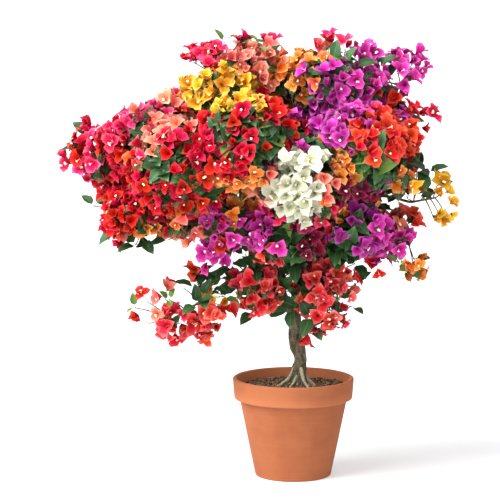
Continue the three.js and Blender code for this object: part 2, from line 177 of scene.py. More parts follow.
# The sprigs of each mass that show one by one, in the order that they grow: their kind of bloom or leaf,
# and for each one x, z, and how many flowers and leaves it carries.
SPRIGS = {
    "top_left": [
        ("crimson", (-205, 972, 10, 1), (-235, 968, 7, 0), (-182, 980, 8, 0), (-120, 1015, 2, 1)),
        ("young", (-158, 994, 0, 2), (-78, 985, 0, 2)),
        ("yellow", (-245, 895, 4, 0), (-204, 912, 4, 0), (-166, 916, 4, 0), (-126, 906, 4, 0),
         (-188, 880, 4, 0), (-144, 868, 4, 0), (-104, 884, 4, 0), (-112, 862, 3, 0)),
        ("crimson", (-190, 940, 3, 1)),
        ("coral", (-98, 958, 5, 0), (-68, 956, 5, 1), (-112, 938, 4, 0), (-80, 934, 4, 1)),
        ("orange", (-46, 938, 5, 0)),
    ],
    "top_centre": [
        ("crimson", (-50, 1005, 2, 1)),
        ("coral", (-75, 980, 8, 1), (-120, 978, 8, 1), (-98, 968, 8, 0), (-50, 965, 6, 1),
         (-112, 944, 4, 1), (-72, 942, 5, 1)),
    ],
    "top_right": [
        ("crimson", (70, 1000, 3, 1)),
        ("pink", (120, 1000, 3, 1)),
        ("magenta", (170, 980, 5, 1)),
        ("leaf", (90, 952, 0, 3)),
        ("coral", (55, 985, 2, 1)),
        ("leaf", (115, 945, 0, 3), (140, 938, 0, 3)),
        ("magenta", (150, 970, 4, 0), (110, 940, 5, 0)),
        ("orange", (10, 955, 5, 0), (40, 946, 5, 1), (-2, 926, 4, 0)),
    ],
    "top_far_right": [
        ("magenta", (230, 965, 6, 1), (275, 970, 6, 0), (295, 940, 3, 0), (210, 930, 3, 1),
         (262, 912, 3, 1), (240, 888, 3, 0)),
        ("crimson", (305, 830, 4, 1), (270, 825, 2, 2)),
        ("leaf", (190, 936, 0, 3)),
    ],
    "front": [
        ("orange", (-125, 672, 6, 2), (-100, 660, 6, 2)),
        ("coral", (-75, 668, 5, 1), (-110, 688, 5, 1)),
    ],
    "front_centre": [
        ("white", (-12, 730, 3, 0), (32, 702, 3, 0), (50, 716, 2, 0), (4, 706, 3, 0), (-32, 678, 3, 0),
         (8, 672, 3, 0), (40, 672, 3, 0), (-34, 644, 3, 0), (14, 640, 3, 0), (46, 640, 3, 0),
         (-6, 614, 3, 0), (24, 610, 3, 0)),
        ("magenta", (-44, 742, 3, 0), (18, 756, 3, 0)),
    ],
    "right": [("scarlet", (266, 770, 4, 1), (260, 850, 3, 0), (262, 805, 4, 0))],
    "right_tip": [
        ("yellow", (330, 690, 2, 1), (345, 662, 3, 0), (282, 668, 3, 1), (248, 664, 2, 1),
         (338, 610, 4, 0), (330, 590, 2, 0), (368, 606, 2, 0)),
        ("leaf", (305, 700, 0, 3), (280, 700, 0, 3), (308, 655, 0, 2), (320, 640, 0, 1)),
    ],
    "low_far_right": [
        ("orange", (285, 495, 4, 1), (290, 465, 4, 0), (260, 470, 4, 1)),
        ("scarlet", (180, 495, 3, 1), (185, 465, 2, 0)),
        ("rose", (264, 596, 4, 1)),
        ("young", (240, 492, 0, 3)),
        ("leaf", (210, 626, 0, 3), (186, 620, 0, 3)),
        ("magenta", (245, 550, 6, 1), (210, 515, 5, 1)),
    ],
    "left_tip": [
        ("crimson", (-520, 725, 2, 0)),
        ("scarlet", (-492, 774, 2, 1)),
        ("pink", (-480, 700, 5, 1)),
        ("red", (-455, 720, 3, 1), (-485, 750, 3, 1)),
        ("crimson", (-462, 802, 3, 1)),
    ],
    "low_left": [
        ("red", (-426, 650, 4, 1)),
        ("leaf", (-455, 622, 0, 2)),
        ("red", (-430, 562, 2, 1), (-400, 534, 2, 0), (-432, 590, 3, 0)),
        ("leaf", (-360, 534, 0, 3), (-345, 545, 0, 1)),
    ],
    "low_front_left": [
        ("leaf", (-285, 545, 0, 2)),
        ("magenta", (-195, 530, 5, 0), (-185, 495, 5, 0)),
        ("coral", (-230, 560, 4, 0)),
        ("scarlet", (-160, 540, 2, 2)),
        ("orange", (-110, 625, 6, 2), (-80, 640, 6, 2), (-135, 635, 5, 2)),
        ("crimson", (-70, 610, 4, 1)),
    ],
    "low_right": [("leaf", (72, 532, 0, 4), (98, 526, 0, 4), (84, 512, 0, 3), (112, 508, 0, 3))],
    "low_front": [("leaf", (-20, 520, 0, 3), (10, 526, 0, 3))],
    "stem_left": [
        ("rose", (-70, 470, 2, 1), (-65, 440, 4, 1), (-122, 445, 2, 1), (-95, 410, 4, 1), (-75, 398, 2, 1)),
        ("leaf", (-95, 380, 0, 1), (-65, 372, 0, 1), (-120, 415, 0, 1), (-110, 510, 0, 3), (-140, 495, 0, 1)),
        ("rose", (-60, 522, 2, 1)),
        ("leaf", (-40, 405, 0, 2), (-85, 475, 0, 3)),
    ],
    "stem_right": [
        ("rose", (-5, 445, 3, 1), (40, 455, 3, 1), (65, 466, 5, 1), (92, 474, 4, 1), (115, 465, 2, 1),
         (95, 440, 3, 1), (45, 415, 5, 1), (70, 408, 3, 0), (58, 370, 1, 1), (75, 360, 3, 1),
         (92, 348, 2, 0), (115, 360, 1, 1), (35, 320, 1, 0)),
        ("leaf", (140, 440, 0, 2), (140, 490, 0, 4), (-6, 385, 0, 2), (95, 510, 0, 4), (135, 390, 0, 1),
         (38, 368, 0, 2), (48, 345, 0, 2), (10, 495, 0, 4), (60, 505, 0, 4)),
    ],
    "spray_left": [
        ("scarlet", (-220, 482, 2, 0), (-265, 456, 1, 0)),
        ("coral", (-305, 425, 2, 0)),
        ("scarlet", (-347, 422, 1, 0), (-352, 361, 1, 0)),
        ("coral", (-316, 376, 1, 0)),
        ("rose", (-293, 366, 4, 0), (-298, 332, 3, 0), (-270, 350, 4, 0), (-248, 373, 4, 0)),
        ("scarlet", (-278, 319, 2, 0)),
        ("rose", (-240, 331, 3, 0), (-196, 311, 2, 0), (-210, 361, 4, 0), (-185, 373, 4, 0),
         (-161, 380, 2, 0), (-185, 338, 3, 0)),
        ("young", (-362, 388, 0, 2)),
        ("leaf", (-282, 336, 0, 1), (-214, 464, 0, 3), (-225, 437, 0, 3), (-223, 396, 0, 3),
         (-160, 414, 0, 4), (-205, 445, 0, 4), (-190, 432, 0, 3), (-210, 415, 0, 2)),
        ("young", (-284, 406, 0, 3)),
        ("leaf", (-175, 455, 0, 3), (-135, 442, 0, 3)),
        ("yellow", (-187, 410, 2, 0), (-143, 404, 1, 0)),
    ],
}
# A sprig leaves its mass's stem a little below the place that is nearest to its end. Its flowers stand closer
# together than others, and its leaves are smaller and face the front.
SPRIG = {"thick": 1.8, "room": 30, "front": 0.8, "below": 0.3, "facing": 4, "close": 0.6,
         "leaf": 0.78, "young": 0.5, "leaves_facing": 12, "at_tip": 3, "top": 0.95, "leaf_step": 0.15}
LEADER_LEAVES = {"from": 428, "to": 565, "shoots": 15, "length": 26, "spread": 26, "size": 0.78,
                 "thin": 0.7, "frontward": 0.35, "droop": 0.4, "leaves": 3}
HEART_LEAVES = {"shoots": 18, "rise": 0.8, "length": 60, "spread": 90, "at_tip": 5, "lower": 3}

# Where each colour of bloom grows: x, z and the patch's radius.
PATCHES = {
    "crimson": [
        (-205, 975, 34), (-185, 945, 18), (-450, 805, 27), (-405, 785, 46), (-475, 750, 23), (-60, 1005, 18),
        (-65, 605, 18), (85, 600, 21),
    ],
    "wine": [(30, 560, 30), (135, 655, 27), (20, 585, 20), (140, 545, 18)],
    "pink": [(-352, 836, 38), (-310, 850, 16), (-480, 710, 27), (70, 1000, 21), (125, 995, 23)],
    "coral": [
        (-100, 960, 48), (-55, 935, 24), (-280, 838, 42), (-250, 868, 22), (-312, 800, 32), (-262, 805, 36),
        (-140, 690, 14), (-60, 680, 18), (-240, 570, 28), (-215, 600, 16), (260, 600, 21), (80, 670, 18),
        (110, 440, 18), (-395, 625, 18),
    ],
    "yellow": [
        (-165, 900, 46), (-208, 886, 46), (-158, 868, 40), (-114, 884, 40), (-240, 885, 26), (-88, 866, 36),
        (330, 680, 36), (270, 665, 21), (335, 655, 23), (335, 610, 32),
    ],
    "orange": [
        (20, 950, 58), (-45, 915, 36), (-10, 900, 34), (105, 745, 32), (120, 705, 30), (105, 635, 23),
        (-120, 645, 50), (-165, 655, 23), (-330, 570, 25), (-300, 605, 18), (245, 665, 14), (-65, 635, 18),
        (285, 480, 46),
    ],
    "scarlet": [
        (0, 868, 20), (195, 810, 46), (240, 795, 40), (240, 750, 36), (285, 755, 18), (185, 760, 34),
        (-370, 715, 18), (230, 850, 22), (155, 790, 20),
    ],
    "red": [
        (-135, 815, 58), (-85, 830, 38), (-38, 858, 24), (-20, 815, 27), (-180, 785, 57), (-100, 750, 48),
        (-215, 740, 50), (-270, 750, 27), (-150, 715, 27), (-375, 670, 55), (-295, 670, 36), (-330, 625, 46),
        (-430, 590, 36), (-430, 665, 27), (-250, 625, 32), (-395, 555, 27), (-465, 650, 18), (-400, 715, 23),
        (-200, 625, 18),
    ],
    "rose": [(0, 380, 80), (-260, 360, 110), (-55, 530, 14)],
    "magenta": [
        (115, 925, 46), (170, 890, 50), (175, 975, 32), (240, 965, 46), (285, 960, 32), (250, 900, 32),
        (150, 855, 46), (205, 930, 27), (-42, 738, 20), (12, 754, 14), (-165, 600, 23), (-135, 575, 20),
        (-95, 600, 27), (-90, 560, 27), (-195, 530, 27), (-185, 495, 23), (245, 550, 41), (210, 515, 27),
        (230, 615, 18), (180, 625, 18),
    ],
    "purple": [
        (66, 878, 42), (70, 828, 47), (120, 845, 26), (70, 795, 24), (135, 570, 38), (115, 550, 20),
        (155, 600, 18),
    ],
    "white": [
        (-6, 658, 34), (20, 656, 34), (12, 634, 28), (34, 634, 20), (-12, 726, 12), (46, 712, 12),
        (14, 704, 20),
    ],
    "leaf": [
        (-50, 788, 30), (-15, 840, 18), (-20, 920, 18), (-155, 945, 14), (-165, 885, 10), (-225, 775, 18),
        (-322, 728, 48), (-270, 700, 34), (-230, 660, 36), (-65, 715, 23), (0, 590, 30), (205, 695, 58),
        (190, 725, 36), (265, 705, 42), (190, 625, 24), (220, 585, 24), (85, 520, 45), (-110, 520, 36),
        (-150, 545, 18), (-20, 510, 45), (145, 495, 30), (80, 950, 18), (140, 955, 18), (15, 775, 26),
        (65, 762, 22), (-125, 700, 14),
    ],
}
PATCH_ROWS = [(name, *spot) for name, spots in PATCHES.items() for spot in spots]
PATCH_X, PATCH_Z, PATCH_SIZE = np.array([row[1:] for row in PATCH_ROWS], float).T
WHITE_ROWS = np.array([row[0] == "white" for row in PATCH_ROWS])
PATCH_BLUR = 16  # how far each patch's colour strays into the next
BACK_DRIFT = 90  # how far the patches wander where the camera doesn't see them
DRIFT_SEED = 2
noise.seed_set(DRIFT_SEED)  # the drift would differ from run to run without it
BACK_FROM, BACK_OVER = 20, 120  # the y where they start to, and how much further back they do in full
DRIFT_SCALE = 0.006
WHITE_FRONT = -180  # white bloom grows only in front of this y, and keeps to its patches
STRAY = 4  # how far it stands out of them
CLEAR = 15  # how far all other bloom keeps off them
WHITE_MORE = 2  # the white sprays carry this many times the flowers
LEAFLESS = ("white", "yellow")  # nearly all their sprays are bloom
MIXED = 0.12  # share of the sprays in the colour of the next patch
LEAFY_SHARE = 0.33  # share of the sprays that are leaves in among the bloom
SECOND_LEAF = 0.4  # share of the sprays of bloom that have two leaves, not one
YOUNG_SHARE = 0.06
BLOOM_SIZES = {"white": 1.15, "orange": 0.88, "yellow": 0.95, "purple": 1.05, "rose": 1.1}


# The rule of growth, as in the solids' source.
def stream(seed):
    """A seeded stream of numbers from 0 to 1."""
    state = seed
    while True:
        state = (state * 1664525 + 1013904223) % 2**32
        yield state / 2**32


def between(random, low, high):
    return low + (high - low) * next(random)


def chance(random):
    """A short vector that points anywhere."""
    return np.array([next(random) - 0.5 for _ in range(3)])


def unit(vectors):
    """A vector, or each row of many, at length one."""
    return vectors / np.linalg.norm(vectors, axis=-1, keepdims=True)


def square_to(axes, guides):
    """The part of each guide that is square to its axis, at length one."""
    return unit(guides - axes * (guides * axes).sum(axis=1, keepdims=True))


def level_side(way):
    """A level direction square to a way, and any direction for a way that is upright."""
    return unit(np.cross(way, UP) + 1e-3)


def turned(vector, axis, angle):
    """The vector turned about a unit axis."""
    along = axis * np.dot(axis, vector)
    return along + (vector - along) * math.cos(angle) + np.cross(axis, vector) * math.sin(angle)


def bend(start, control, end, t):
    """The point at share t of the bend between two places that is drawn towards a third."""
    return start * (1 - t) ** 2 + control * 2 * t * (1 - t) + end * t**2


def arch(start, end, rise):
    """A curve that arches up between two places, as a function of the share along it."""
    control = (start + end) / 2 + UP * np.linalg.norm(end - start) * rise

    def at(t):
        return bend(start, control, end, t)

    return at


def curve_point(stations, t):
    """The place and radius at share t of the centripetal curve through the stations."""
    stations = np.asarray(stations, float)
    last = len(stations) - 1
    low = min(int(t * last), last - 1)
    share = t * last - low
    points = stations[:, :3]
    second, third = points[low], points[low + 1]
    first = points[low - 1] if low > 0 else 2 * second - third
    fourth = points[low + 2] if low + 2 <= last else 2 * third - second
    a = math.sqrt(np.linalg.norm(second - first))
    b = math.sqrt(np.linalg.norm(third - second))
    c = math.sqrt(np.linalg.norm(fourth - third))
    leaving = b * ((second - first) / a - (third - first) / (a + b) + (third - second) / b)
    coming = b * ((third - second) / b - (fourth - second) / (b + c) + (fourth - third) / c)
    place = (
        second
        + leaving * share
        + (3 * (third - second) - 2 * leaving - coming) * share**2
        + (2 * (second - third) + leaving + coming) * share**3
    )
    radius = stations[low, 3] + (stations[low + 1, 3] - stations[low, 3]) * share
    return place, radius


def point_on(stations, height):
    """The point on a leader at a height."""
    low, high = 0.0, 1.0
    while high - low > 1e-5:
        middle = (low + high) / 2
        if curve_point(stations, middle)[0][2] < height:
            low = middle
        else:
            high = middle
    return curve_point(stations, low)[0]


def seen(place):
    """Where the camera's line of sight to a place meets the plane Y = 0: x and z."""
    met = EYE + (place - EYE) * (-EYE[1] / (place[1] - EYE[1]))
    return met[0], met[2]


def placed(x, z, depth):
    """The place at y = depth that the camera sees where it sees x and z on the plane Y = 0."""
    return EYE + (np.array((x, 0, z)) - EYE) * ((depth - EYE[1]) / -EYE[1])


def in_outline(place):
    """Whether the camera sees a place within the crown's outline."""
    x, z = seen(place)
    before_x, before_z = np.roll(OUTLINE_X, 1), np.roll(OUTLINE_Z, 1)
    crossed = (OUTLINE_Z > z) != (before_z > z)
    slope = (before_x - OUTLINE_X)[crossed] / (before_z - OUTLINE_Z)[crossed]
    edges = OUTLINE_X[crossed] + (z - OUTLINE_Z[crossed]) * slope
    return (x < edges).sum() % 2 == 1


def anywhere(place, ease=1.0):
    return True


def own_space(index):
    """A test of whether a point is in a mass's own ellipsoid, on its side of the plane to each neighbour."""
    centre, half = CENTRES[index], HALVES[index]
    others = np.arange(len(CENTRES)) != index
    ways = CENTRES[others] - centre
    lengths = np.linalg.norm(ways, axis=1)
    shares = half.mean() / (half.mean() + HALVES[others].mean(axis=1))
    limits = lengths * shares - BORDER
    ways = ways / lengths[:, None]

    def inside(point, ease=1.0):
        away = point - centre
        return np.linalg.norm(away / half) <= ease and bool((ways @ away < limits).all())

    return inside


def bough_stations(name, index):
    """The middle line of a mass's bough: out of its leader, up, and over to where it enters the mass."""
    mass = MASSES[name]
    inside = own_space(index)
    shape = SLENDER_BOUGH if name in SLENDER else BOUGH
    start = point_on(LEADERS[mass.leader], mass.height)
    centre, half = CENTRES[index], HALVES[index]
    back = start - centre
    end = centre + back * shape["enters"] / np.linalg.norm(back / half)
    while not inside(end, shape["enters"]):
        end = end + (centre - end) * STEP_IN
    at = arch(start, end, shape["rise"])
    shares = [i / shape["steps"] for i in range(shape["steps"] + 1)]
    return [(*at(t), shape["base"] + (shape["tip"] - shape["base"]) * t) for t in shares]


def outward(k, count, index):
    """The direction of one of a mass's shoots, spread evenly round it."""
    rise = 1 - (2 * (k + 0.5)) / count
    around = k * GOLDEN_ANGLE + index
    flat = math.sqrt(1 - rise * rise)
    return np.array((flat * math.cos(around), flat * math.sin(around), rise))


# Meshes from arrays. A part is its points, its triangles, and its places on the map or None.
def joined(parts):
    """Many parts as one."""
    points, faces, places = zip(*parts)
    firsts = np.cumsum([0] + [len(some) for some in points[:-1]])
    faces = np.concatenate([some + first for some, first in zip(faces, firsts)])
    return np.concatenate(points), faces, None if places[0] is None else np.concatenate(places)


def in_scene(name, data):
    made = bpy.data.objects.new(name, data)
    bpy.context.scene.collection.objects.link(made)
    return made


def piece(name, parts, material, slot, replaced=()):
    """One finished piece of the plant or its pot, which rides on the one body."""
    points, faces, places = joined(parts)
    faces = faces.astype(np.int32)
    mesh = bpy.data.meshes.new(name)
    mesh.vertices.add(len(points))
    mesh.vertices.foreach_set("co", (points * MM).astype(np.float32).ravel())
    mesh.loops.add(faces.size)
    mesh.loops.foreach_set("vertex_index", faces.ravel())
    mesh.polygons.add(len(faces))
    mesh.polygons.foreach_set("loop_start", np.arange(0, faces.size, 3, dtype=np.int32))
    mesh.update(calc_edges=True)
    if places is not None:
        layer = mesh.uv_layers.new(name="OFBake")
        layer.data.foreach_set("uv", places[faces.ravel()].astype(np.float32).ravel())
    mesh.shade_smooth()
    mesh.materials.append(material)
    made = in_scene(name, mesh)
    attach(made, "root")
    if replaced:
        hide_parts(*replaced)


def wall(rings, sides):
    """The triangles between rings of points that follow one another."""
    faces = []
    for i in range(rings - 1):
        for j in range(sides):
            a, b = i * sides + j, i * sides + (j + 1) % sides
            faces += [(a, b, b + sides), (a, b + sides, a + sides)]
    return faces


def tubes(paths, radii, sides):
    """Many closed tubes at once: paths is (count, stations, 3) and radii is (count, stations)."""
    paths = np.asarray(paths, float)
    radii = np.asarray(radii, float)
    count, stations, _ = paths.shape
    along = unit(np.gradient(paths, axis=1))
    whole = paths[:, -1] - paths[:, 0]
    guide = np.eye(3)[np.abs(whole).argmin(axis=1)][:, None, :]
    side = unit(np.cross(along, guide))
    other = np.cross(along, side)
    angles = np.arange(sides) * 2 * math.pi / sides
    ring = (
        side[:, :, None, :] * np.cos(angles)[None, None, :, None]
        + other[:, :, None, :] * np.sin(angles)[None, None, :, None]
    )
    points = paths[:, :, None, :] + ring * radii[:, :, None, None]
    faces = wall(stations, sides)
    last = (stations - 1) * sides
    for j in range(1, sides - 1):
        faces += [(0, j + 1, j), (last, last + j, last + j + 1)]
    steps = np.arange(count)[:, None, None] * stations * sides
    return points.reshape(-1, 3), (np.array(faces)[None] + steps).reshape(-1, 3), None


MAP_CELLS = 8  # the map holds this many cells each way, each with a tint of its own
CELL_MARGIN = 0.04


def copies(template, at, axis, turn, scale, cells=None):
    """Copies of a template made along +Z, each at its place, along its axis, and with a cell of the map."""
    points, faces, local = template
    side = square_to(axis, turn)
    basis = np.stack((side, np.cross(axis, side), axis), axis=1) * scale[:, None, None]
    moved = np.einsum("pk,nkc->npc", points, basis) + at[:, None, :]
    steps = np.arange(len(at))[:, None, None] * len(points)
    places = None
    if cells is not None:
        corner = np.stack((cells % MAP_CELLS, cells // MAP_CELLS), axis=1)[:, None, :]
        places = (corner + CELL_MARGIN + (1 - 2 * CELL_MARGIN) * local[None]) / MAP_CELLS
        places = places.reshape(-1, 2)
    return moved.reshape(-1, 3), (faces[None] + steps).reshape(-1, 3), places


def columns(rows):
    return [np.array(column) for column in zip(*rows)]


# Bracts, florets and leaves.
BLADE_ROWS = (0.18, 0.48, 0.8)
BLADE_COLUMNS = (-1, -0.5, 0, 0.5, 1)
BLADE_TIP = 1.1  # the tip stands this share of the length out, so that the outline ends in a small point
RUFFLES = {"along": 7, "across": 2}


def blade_grid(rows, columns):
    """The triangles of a blade with a point at its foot, rows of columns, and a point at its tip."""
    faces = []
    tip = 1 + rows * columns
    for c in range(columns - 1):
        faces.append((0, 1 + c + 1, 1 + c))
        top = 1 + (rows - 1) * columns + c
        faces.append((top, top + 1, tip))
    for r in range(rows - 1):
        for c in range(columns - 1):
            a = 1 + r * columns + c
            faces += [(a, a + 1, a + columns + 1), (a, a + columns + 1, a + columns)]
    return np.array(faces)


def blade(length, width, bends, ruffle, phase, fullness, point):
    """A petal or leaf from the origin. Its bends are the angles over +X that it starts out at and comes to
    at its tip, and how far its halves fold up, in degrees.
    """
    foot_angle, tip_angle, fold = (math.radians(angle) for angle in bends)
    points = [(0.0, 0.0, 0.0)]
    local = [(0.5, 0.0)]
    out, rise, before = 0.0, 0.0, 0.0
    peak = fullness / (fullness + point)
    widest = peak**fullness * (1 - peak) ** point
    for v in (*BLADE_ROWS, BLADE_TIP):
        angle = foot_angle + (tip_angle - foot_angle) * (v + before) / 2
        out += length * (v - before) * math.cos(angle)
        rise += length * (v - before) * math.sin(angle)
        before = v
        normal = np.array((-math.sin(angle), 0, math.cos(angle)))
        middle = np.array((out, 0, rise))
        if v == BLADE_TIP:
            points.append(tuple(middle))
            local.append((0.5, 1.0))
            break
        half = width / 2 * v**fullness * (1 - v) ** point / widest
        for u in BLADE_COLUMNS:
            wave = u * u * math.sin(RUFFLES["along"] * v + phase + RUFFLES["across"] * u)
            lift = abs(u) * half * math.sin(fold) + ruffle * wave
            points.append(tuple(middle + np.array((0, u * half * math.cos(fold), 0)) + normal * lift))
            local.append((0.5 + 0.5 * u, v))
    return np.array(points), blade_grid(len(BLADE_ROWS), len(BLADE_COLUMNS)), np.array(local)


def about_z(points, angle):
    cosine, sine = math.cos(angle), math.sin(angle)
    return points @ np.array(((cosine, sine, 0), (-sine, cosine, 0), (0, 0, 1)))


BRACT = {"length": 26.5, "width": 23.5, "ruffle": 2.8, "fullness": 0.95, "point": 0.55, "tip_spread": 16}
BRACT_VARIES = {"length": (0.94, 1.06), "width": (0.92, 1.08)}  # in shares of the usual size
# Each kind of flower: how steeply its bracts stand at the foot and at the tip, and how far they fold,
# in degrees.
FLOWER_KINDS = [
    (68, 12, 24), (76, 30, 28), (62, -8, 16), (82, 52, 32), (70, 10, 28), (86, 66, 34), (64, 2, 26),
]


def flower(kind):
    """Three papery bracts about the +Z axis."""
    steep, open_tip, fold = FLOWER_KINDS[kind]
    random = stream(50 + kind)
    parts = []
    for i in range(3):
        length = BRACT["length"] * between(random, *BRACT_VARIES["length"])
        width = BRACT["width"] * between(random, *BRACT_VARIES["width"])
        tip = open_tip + BRACT["tip_spread"] * (next(random) - 0.5)
        phase = 6 * next(random)
        points, faces, local = blade(
            length, width, (steep, tip, fold), BRACT["ruffle"], phase, BRACT["fullness"], BRACT["point"]
        )
        parts.append((about_z(points, 2 * math.pi * (i + 0.16 * next(random)) / 3), faces, local))
    return joined(parts)


FLORET = {"foot": 2, "height": 14, "radii": (0.6, 0.8), "leans": (0.25, 0.5), "turn": 2.2}
STAR = {"corners": 10, "over": 0.3, "point": (2.9, 0.9), "notch": (2.1, 0.4)}  # out from the middle, and up
FLORETS_OPEN = (1, 0, 2, 0, 1, 0, 0)  # on each kind of flower


def floret(lean, around):
    """One small tube that leans out of a flower's heart, and the star it opens into."""
    heading = np.array((math.sin(lean) * math.cos(around), math.sin(lean) * math.sin(around), math.cos(lean)))
    top = heading * FLORET["height"]
    side = unit(np.cross(heading, (0, 1, 0.2)))
    other = np.cross(heading, side)
    corners = STAR["corners"]
    star = [top + heading * STAR["over"]]
    for i in range(corners):
        angle = 2 * i * math.pi / corners
        reach, raised = STAR["notch" if i % 2 else "point"]
        star.append(top + (side * math.cos(angle) + other * math.sin(angle)) * reach + heading * raised)
    star_faces = [(0, 1 + i, 1 + (i + 1) % corners) for i in range(corners)]
    tube = tubes([[heading * FLORET["foot"], top]], [FLORET["radii"]], 3)
    return joined([tube, (np.array(star), np.array(star_faces), None)])


def florets(kind):
    random = stream(80 + kind)
    leans = [between(random, *FLORET["leans"]) for _ in range(FLORETS_OPEN[kind])]
    return joined([floret(lean, FLORET["turn"] * i + 6 * next(random)) for i, lean in enumerate(leans)])


# Each kind of leaf: how it leaves the stalk and hangs at its tip, and how far it folds, in degrees.
LEAF_KINDS = [(18, -30, 12), (8, -14, 20), (24, -44, 10), (4, -24, 16)]
LEAF_SHAPE = {"width": 0.72, "ruffle": 0.025, "fullness": 0.55, "point": 0.75}


def leaf(kind):
    """An oval leaf of unit length along +X, with its upper side towards +Z."""
    return blade(1, bends=LEAF_KINDS[kind], phase=2 * kind, **LEAF_SHAPE)


# Materials.
def linear(value):
    value = value / 255
    return value / 12.92 if value <= 0.04045 else ((value + 0.055) / 1.055) ** 2.4


def colour(red, green, blue):
    """A colour as the eye reads it, each channel to 255, as the shader takes it."""
    return (linear(red), linear(green), linear(blue), 1.0)


class Finish:
    """A material in the making, with one principled shader."""

    def __init__(self, name, roughness, specular):
        self.material = bpy.data.materials.new(name)
        self.material.use_nodes = True
        self.nodes = self.material.node_tree.nodes
        self.links = self.material.node_tree.links
        self.shader = self.nodes["Principled BSDF"]
        self.shader.inputs["Roughness"].default_value = roughness
        self.shader.inputs["Specular IOR Level"].default_value = specular

    def node(self, kind, inputs, **settings):
        """A new node: what inputs gives a socket is a value, or another node's output to link."""
        made = self.nodes.new(kind)
        for key, value in settings.items():
            setattr(made, key, value)
        for socket, value in inputs.items():
            if isinstance(value, bpy.types.NodeSocket):
                self.links.new(value, made.inputs[socket])
            else:
                made.inputs[socket].default_value = value
        return made

    def math(self, operation, first, second=0.0):
        return self.node("ShaderNodeMath", {0: first, 1: second}, operation=operation).outputs[0]

    def plus(self, first, second):
        return self.math("ADD", first, second)

    def times(self, first, second):
        return self.math("MULTIPLY", first, second)

    def vector(self, operation, first, second=(0, 0, 0), output="Vector"):
        return self.node("ShaderNodeVectorMath", {0: first, 1: second}, operation=operation).outputs[output]

    def mix(self, share, first, second):
        """Two colours mixed, each of them a node's output or a colour as the eye reads it."""
        first, second = (colour(*each) if isinstance(each, tuple) else each for each in (first, second))
        return self.node("ShaderNodeMix", {0: share, 6: first, 7: second}, data_type="RGBA").outputs[2]

    def tone(self, value, low, high, first, second, most=1.0):
        """The first colour where a value is low, and as much of the second as most says where it is high."""
        return self.mix(self.ramp(value, low, high, 0, most), first, second)

    def noise(self, where, scale, detail=4, rough=0.6):
        inputs = {"Vector": where, "Scale": scale, "Detail": detail, "Roughness": rough}
        return self.node("ShaderNodeTexNoise", inputs).outputs["Fac"]

    def ramp(self, value, low, high, low_to=0.0, high_to=1.0):
        inputs = {"Value": value, "From Min": low, "From Max": high, "To Min": low_to, "To Max": high_to}
        return self.node("ShaderNodeMapRange", inputs).outputs[0]

    def place(self):
        return self.node("ShaderNodeTexCoord", {}).outputs["Object"]

    def stretched(self, where, scale):
        return self.node("ShaderNodeMapping", {"Vector": where, "Scale": scale}).outputs[0]

    def cell(self):
        """On a copy's cell of the map, how far off its midrib and how far along it, both from 0 to 1, and two
        random numbers for the cell.
        """
        where = self.node("ShaderNodeUVMap", {}, uv_map="OFBake").outputs[0]
        spread = self.vector("MULTIPLY", where, (MAP_CELLS,) * 3)
        parts = self.node("ShaderNodeSeparateXYZ", {0: self.vector("FRACTION", spread)})
        off_middle = self.times(self.math("ABSOLUTE", self.math("SUBTRACT", parts.outputs[0], 0.5)), 2.0)
        corner = self.vector("FLOOR", spread)
        random = self.node("ShaderNodeTexWhiteNoise", {0: corner}, noise_dimensions="2D")
        tints = self.node("ShaderNodeSeparateColor", {0: random.outputs["Color"]})
        return off_middle, parts.outputs[1], tints.outputs[0], tints.outputs[1]

    def veins(self, off_middle, along, slope, count, sharpness):
        """Veins that slant out from the midrib."""
        slant = self.math("SUBTRACT", self.times(along, count), self.times(off_middle, slope))
        return self.math("POWER", self.math("ABSOLUTE", self.math("SINE", slant)), sharpness)

    def rimmed(self, base, off_middle, along, start, share, rim):
        """The base, with its rim towards another colour."""
        return self.tone(self.math("MAXIMUM", off_middle, along), start, 1.0, base, rim, share)

    def finish(self, base, bump=None, depth=0.001):
        self.links.new(base, self.shader.inputs["Base Color"])
        if bump is not None:
            relief = self.node("ShaderNodeBump", {"Height": bump, "Distance": depth, "Strength": 1.0})
            self.links.new(relief.outputs[0], self.shader.inputs["Normal"])
        return self.material


def bract_finish(name, heart, edge, rim):
    """Papery, with fine veins out from the midrib and creases. Deeper at the heart: partly the bract's own
    deeper base and partly painted shade in the cup. A thin pale rim: a painted highlight and glow of light
    through the thin edge.
    """
    made = Finish(name, roughness=0.65, specular=0.12)
    off_middle, along, tint, second = made.cell()
    # From the heart's colour to the edge's: partly the bract's own tone, partly painted shade deep in the
    # cup.
    plain = made.tone(made.plus(made.times(off_middle, 0.4), along), 0.1, 1.3, heart, edge)
    veins = made.veins(off_middle, along, slope=30, count=44, sharpness=6)
    veined = made.mix(made.times(veins, 0.14), plain, heart)
    # The pale rim colour is a painted highlight and glow of light through the thin edge.
    shade = made.node("ShaderNodeHueSaturation", {
        "Color": made.rimmed(veined, off_middle, along, 0.7, 0.5, rim),
        "Hue": made.ramp(tint, 0, 1, 0.488, 0.510),
        "Value": made.ramp(second, 0, 1, 0.74, 1.18),
    })
    creases = made.noise(made.place(), scale=230, detail=3)
    return made.finish(shade.outputs[0], made.plus(creases, made.times(veins, 0.12)), 0.003)


def leaf_finish(name, dark, light):
    """Each leaf between dark and light, with a paler midrib, veins and rim."""
    made = Finish(name, roughness=0.45, specular=0.35)
    off_middle, along, tint, _ = made.cell()
    midrib = made.ramp(off_middle, 0.03, 0.1, 1, 0)
    veins = made.veins(off_middle, along, slope=15, count=24, sharpness=10)
    lines = made.math("MAXIMUM", midrib, made.times(veins, 0.5))
    veined = made.mix(made.times(lines, 0.35), made.mix(tint, dark, light), (120, 150, 84))
    base = made.rimmed(veined, off_middle, along, 0.82, 0.45, (146, 172, 128))
    return made.finish(base, lines, -0.0006)


def floret_finish():
    made = Finish("cream_floret", roughness=0.6, specular=0.3)
    return made.finish(made.mix(made.noise(made.place(), 90), (250, 230, 190), (255, 248, 224)))


